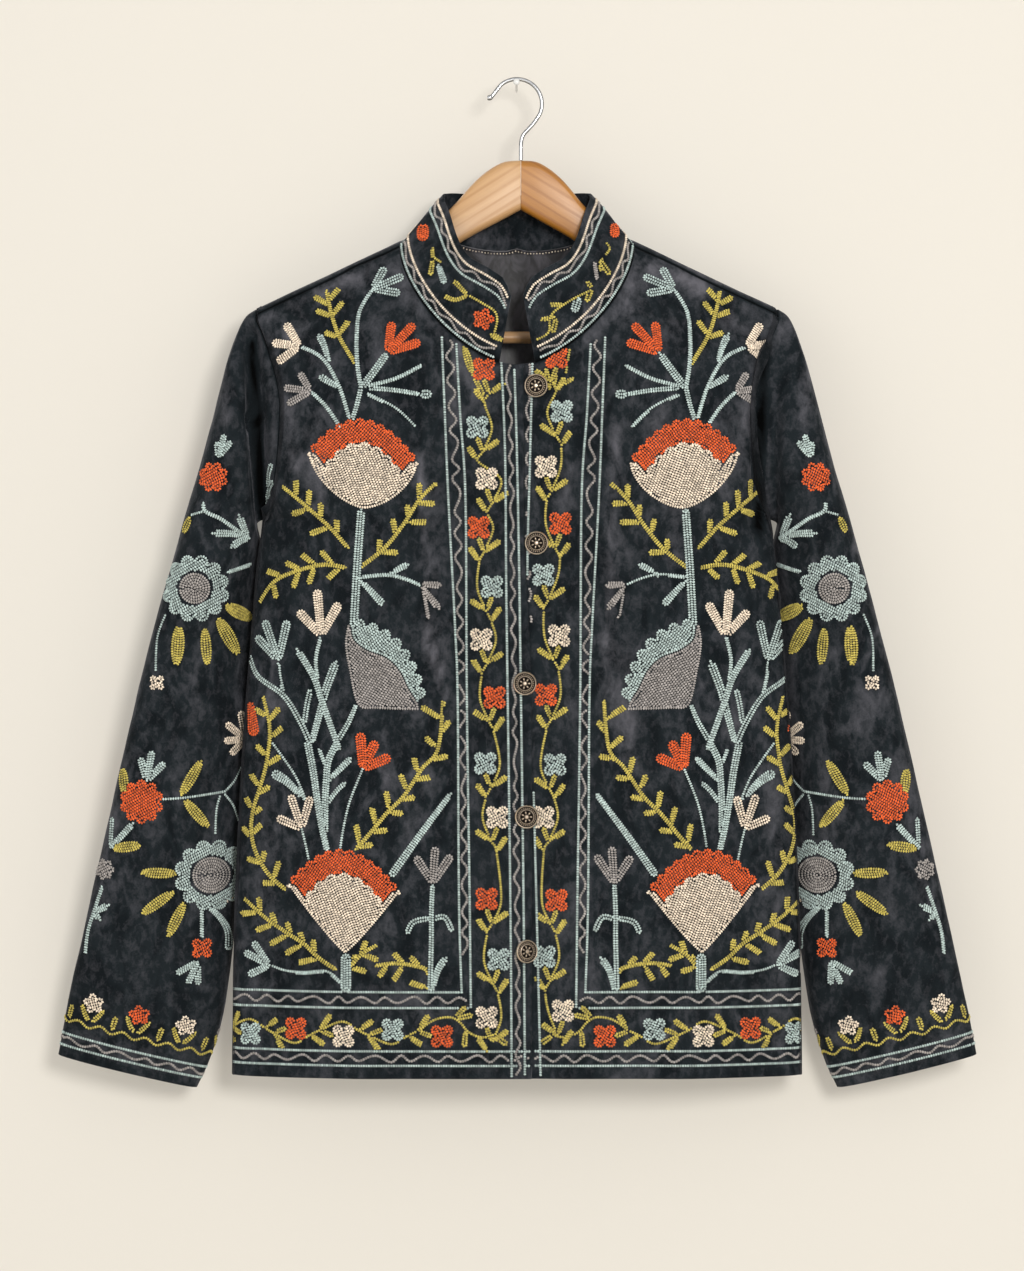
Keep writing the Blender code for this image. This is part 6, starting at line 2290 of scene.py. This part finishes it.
class JacketThreadSettings(bpy.types.PropertyGroup):
    length: length_setting("Stitch length", "From one chain stitch to the next", 0.0019, 0.001)
    width: length_setting("Stitch width", "Across one chain stitch", 0.0027, 0.0005)
    height: length_setting("Stitch height", "How far the thread stands over the velvet", 0.0010, 0.0001)
    shade: bpy.props.FloatProperty(
        name="Shade", description="How much the threads differ in lightness", default=0.34, min=0.0, max=0.5,
        subtype="FACTOR")
    seed: bpy.props.IntProperty(name="Seed", description="Of the threads' shades", default=11, min=0)
    sky: colour_setting("Sky", "Pale blue thread", (0.55, 0.67, 0.645))
    olive: colour_setting("Olive", "Yellow-green thread", (0.63, 0.52, 0.115))
    rust: colour_setting("Rust", "Orange-red thread", (0.88, 0.142, 0.032))
    cream: colour_setting("Cream", "Blush-cream thread", (1.0, 0.85, 0.68))
    mauve: colour_setting("Mauve", "Grey-mauve thread", (0.44, 0.405, 0.385))


class JacketButtonSettings(bpy.types.PropertyGroup):
    beads: bpy.props.IntProperty(
        name="Beads", description="In the ring on each button", default=26, min=6, max=60)
    bronze: colour_setting("Bronze", "Rubbed edges", (0.60, 0.49, 0.38))
    bronze_hollow: colour_setting("Bronze, hollows", "Dark hollows", (0.012, 0.009, 0.007))


class JacketHangerSettings(bpy.types.PropertyGroup):
    wood_pale: colour_setting("Pale wood", "Of the wearer's right half", (0.53, 0.315, 0.145))
    wood_pale_grain: colour_setting("Pale wood, grain", "Its darker grain", (0.41, 0.215, 0.083))
    wood_amber: colour_setting("Amber wood", "Of the wearer's left half", (0.40, 0.166, 0.020))
    wood_amber_grain: colour_setting("Amber wood, grain", "Its darker grain", (0.27, 0.098, 0.010))
    steel: colour_setting("Steel", "Of the hook", (0.72, 0.73, 0.75))
    steel_shade: colour_setting("Steel, shade", "Dark reflections along its sides", (0.075, 0.080, 0.088))


class JacketStageSettings(bpy.types.PropertyGroup):
    distance: length_setting("Camera distance", "From the camera to the jacket's middle plane", 3.2, 0.5)
    frame_height: length_setting("Frame height", "Of the picture at the jacket's middle plane", 0.97867, 0.2)
    wall: colour_setting("Wall", "The wall's paint", (0.512, 0.487, 0.442))


def add_light(row):
    light = bpy.data.lights.new(row.name, "AREA")
    light.shape = "DISK"
    light.size = row.size
    light.energy = row.power
    light.color = row.colour
    made = placed_object(row.name, light)
    made.location = row.place
    made.rotation_mode = "QUATERNION"
    made.rotation_quaternion = (Vector(row.target) - Vector(row.place)).to_track_quat("-Z", "Y")


def make_plane(name, corners, material):
    mesh = bpy.data.meshes.new(name)
    mesh.from_pydata(corners, [], [(0, 1, 2, 3)])
    mesh.materials.append(material)
    made = placed_object(name, mesh)
    return made


def make_pin():
    """The white pin in the wall that carries the hook."""
    paint, tree, shader = make_principled("white_enamel", (0.66, 0.66, 0.65), 0.35)
    rough = stretched_noise(tree, (1, 1, 1), 500, 2)
    connect(tree, shader, {"Roughness": spread(tree, rough, 0.3, 0.7, 0.28, 0.42)})
    solid = turned_solid(PIN_PROFILE, 32)
    place = Matrix.Translation(PIN_PLACE) @ Matrix.Rotation(math.pi / 2, 4, "X")
    bmesh.ops.transform(solid, matrix=place, verts=solid.verts[:])
    mesh = mesh_of("wall_pin", solid)
    mesh.materials.append(paint)
    made = placed_object("wall_pin", mesh)
    made.visible_shadow = False


def make_stage(settings):
    scene = bpy.context.scene
    scene.view_settings.view_transform = "Standard"
    world = bpy.data.worlds.new("studio")
    world.use_nodes = True
    background = world.node_tree.nodes["Background"]
    connect(world.node_tree, background, {"Color": WORLD_COLOUR, "Strength": WORLD_LIGHT})
    scene.world = world
    paint = wall_material(settings.wall)
    reach, low, back = STAGE_REACH, FLOOR_Z, WALL_Y
    wall_plane = make_plane("wall", [(-reach, back, low), (reach, back, low), (reach, back, WALL_TOP),
                                     (-reach, back, WALL_TOP)], paint)
    wall_plane.visible_shadow = False
    make_plane("floor", [(-reach, -reach, low), (reach, -reach, low), (reach, reach, low),
                         (-reach, reach, low)], paint)
    make_pin()
    camera = bpy.data.cameras.new("camera")
    camera.sensor_width = SENSOR
    camera.lens = SENSOR * settings.distance / settings.frame_height
    made = placed_object("camera", camera)
    made.location = (CAMERA_X, -settings.distance, CAMERA_Z)
    made.rotation_euler = (math.pi / 2, 0, 0)
    scene.camera = made
    for row in LAMPS:
        add_light(row)


class JACKET_OT_cloth(bpy.types.Operator):
    """Make the jacket's cut pieces of velvet and the lining behind the neck"""
    bl_idname = "jacket.cloth"
    bl_label = "Cloth"

    def execute(self, context):
        make_cloth(context.scene.jacket_cloth)
        return {"FINISHED"}


class JACKET_OT_embroidery(bpy.types.Operator):
    """Lay the chain stitches on every piece of cloth"""
    bl_idname = "jacket.embroidery"
    bl_label = "Embroidery"

    def execute(self, context):
        make_embroidery(context.scene.jacket_thread)
        return {"FINISHED"}


class JACKET_OT_buttons(bpy.types.Operator):
    """Make the five engraved shank buttons"""
    bl_idname = "jacket.buttons"
    bl_label = "Buttons"

    def execute(self, context):
        make_buttons(context.scene.jacket_button)
        return {"FINISHED"}


class JACKET_OT_hanger(bpy.types.Operator):
    """Make the hanger's two wooden halves, its bar and its steel hook"""
    bl_idname = "jacket.hanger"
    bl_label = "Hanger"

    def execute(self, context):
        make_hanger(context.scene.jacket_hanger)
        make_hook(context.scene.jacket_hanger)
        return {"FINISHED"}


class JACKET_OT_stage(bpy.types.Operator):
    """Make the wall, the floor, the lights and the camera"""
    bl_idname = "jacket.stage"
    bl_label = "Stage"

    def execute(self, context):
        make_stage(context.scene.jacket_stage)
        return {"FINISHED"}


class JACKET_PT_maker(bpy.types.Panel):
    """Lists the steps that make the jacket, and the sizes and colours of each"""
    bl_idname = "JACKET_PT_maker"
    bl_label = "Embroidered Jacket"
    bl_space_type = "VIEW_3D"
    bl_region_type = "UI"
    bl_category = "Jacket"

    def draw(self, context):
        for operator, name in STEPS:
            box = self.layout.box()
            settings = getattr(context.scene, name)
            for key in settings.__annotations__:
                box.prop(settings, key)
            box.operator(operator)


STEPS = (("jacket.stage", "jacket_stage"), ("jacket.cloth", "jacket_cloth"),
         ("jacket.embroidery", "jacket_thread"), ("jacket.buttons", "jacket_button"),
         ("jacket.hanger", "jacket_hanger"))
SETTINGS = {"jacket_stage": JacketStageSettings, "jacket_cloth": JacketClothSettings,
            "jacket_thread": JacketThreadSettings, "jacket_button": JacketButtonSettings,
            "jacket_hanger": JacketHangerSettings}
CLASSES = (JACKET_OT_stage, JACKET_OT_cloth, JACKET_OT_embroidery, JACKET_OT_buttons, JACKET_OT_hanger,
           JACKET_PT_maker)


def register():
    for name, settings in SETTINGS.items():
        bpy.utils.register_class(settings)
        setattr(bpy.types.Scene, name, bpy.props.PointerProperty(type=settings))
    for item in CLASSES:
        bpy.utils.register_class(item)


def unregister():
    for item in reversed(CLASSES):
        bpy.utils.unregister_class(item)
    for name, settings in SETTINGS.items():
        delattr(bpy.types.Scene, name)
        bpy.utils.unregister_class(settings)


def main():
    register()
    bpy.ops.jacket.stage()
    bpy.ops.jacket.cloth()
    bpy.ops.jacket.embroidery()
    bpy.ops.jacket.buttons()
    bpy.ops.jacket.hanger()


if __name__ == "__main__":
    main()
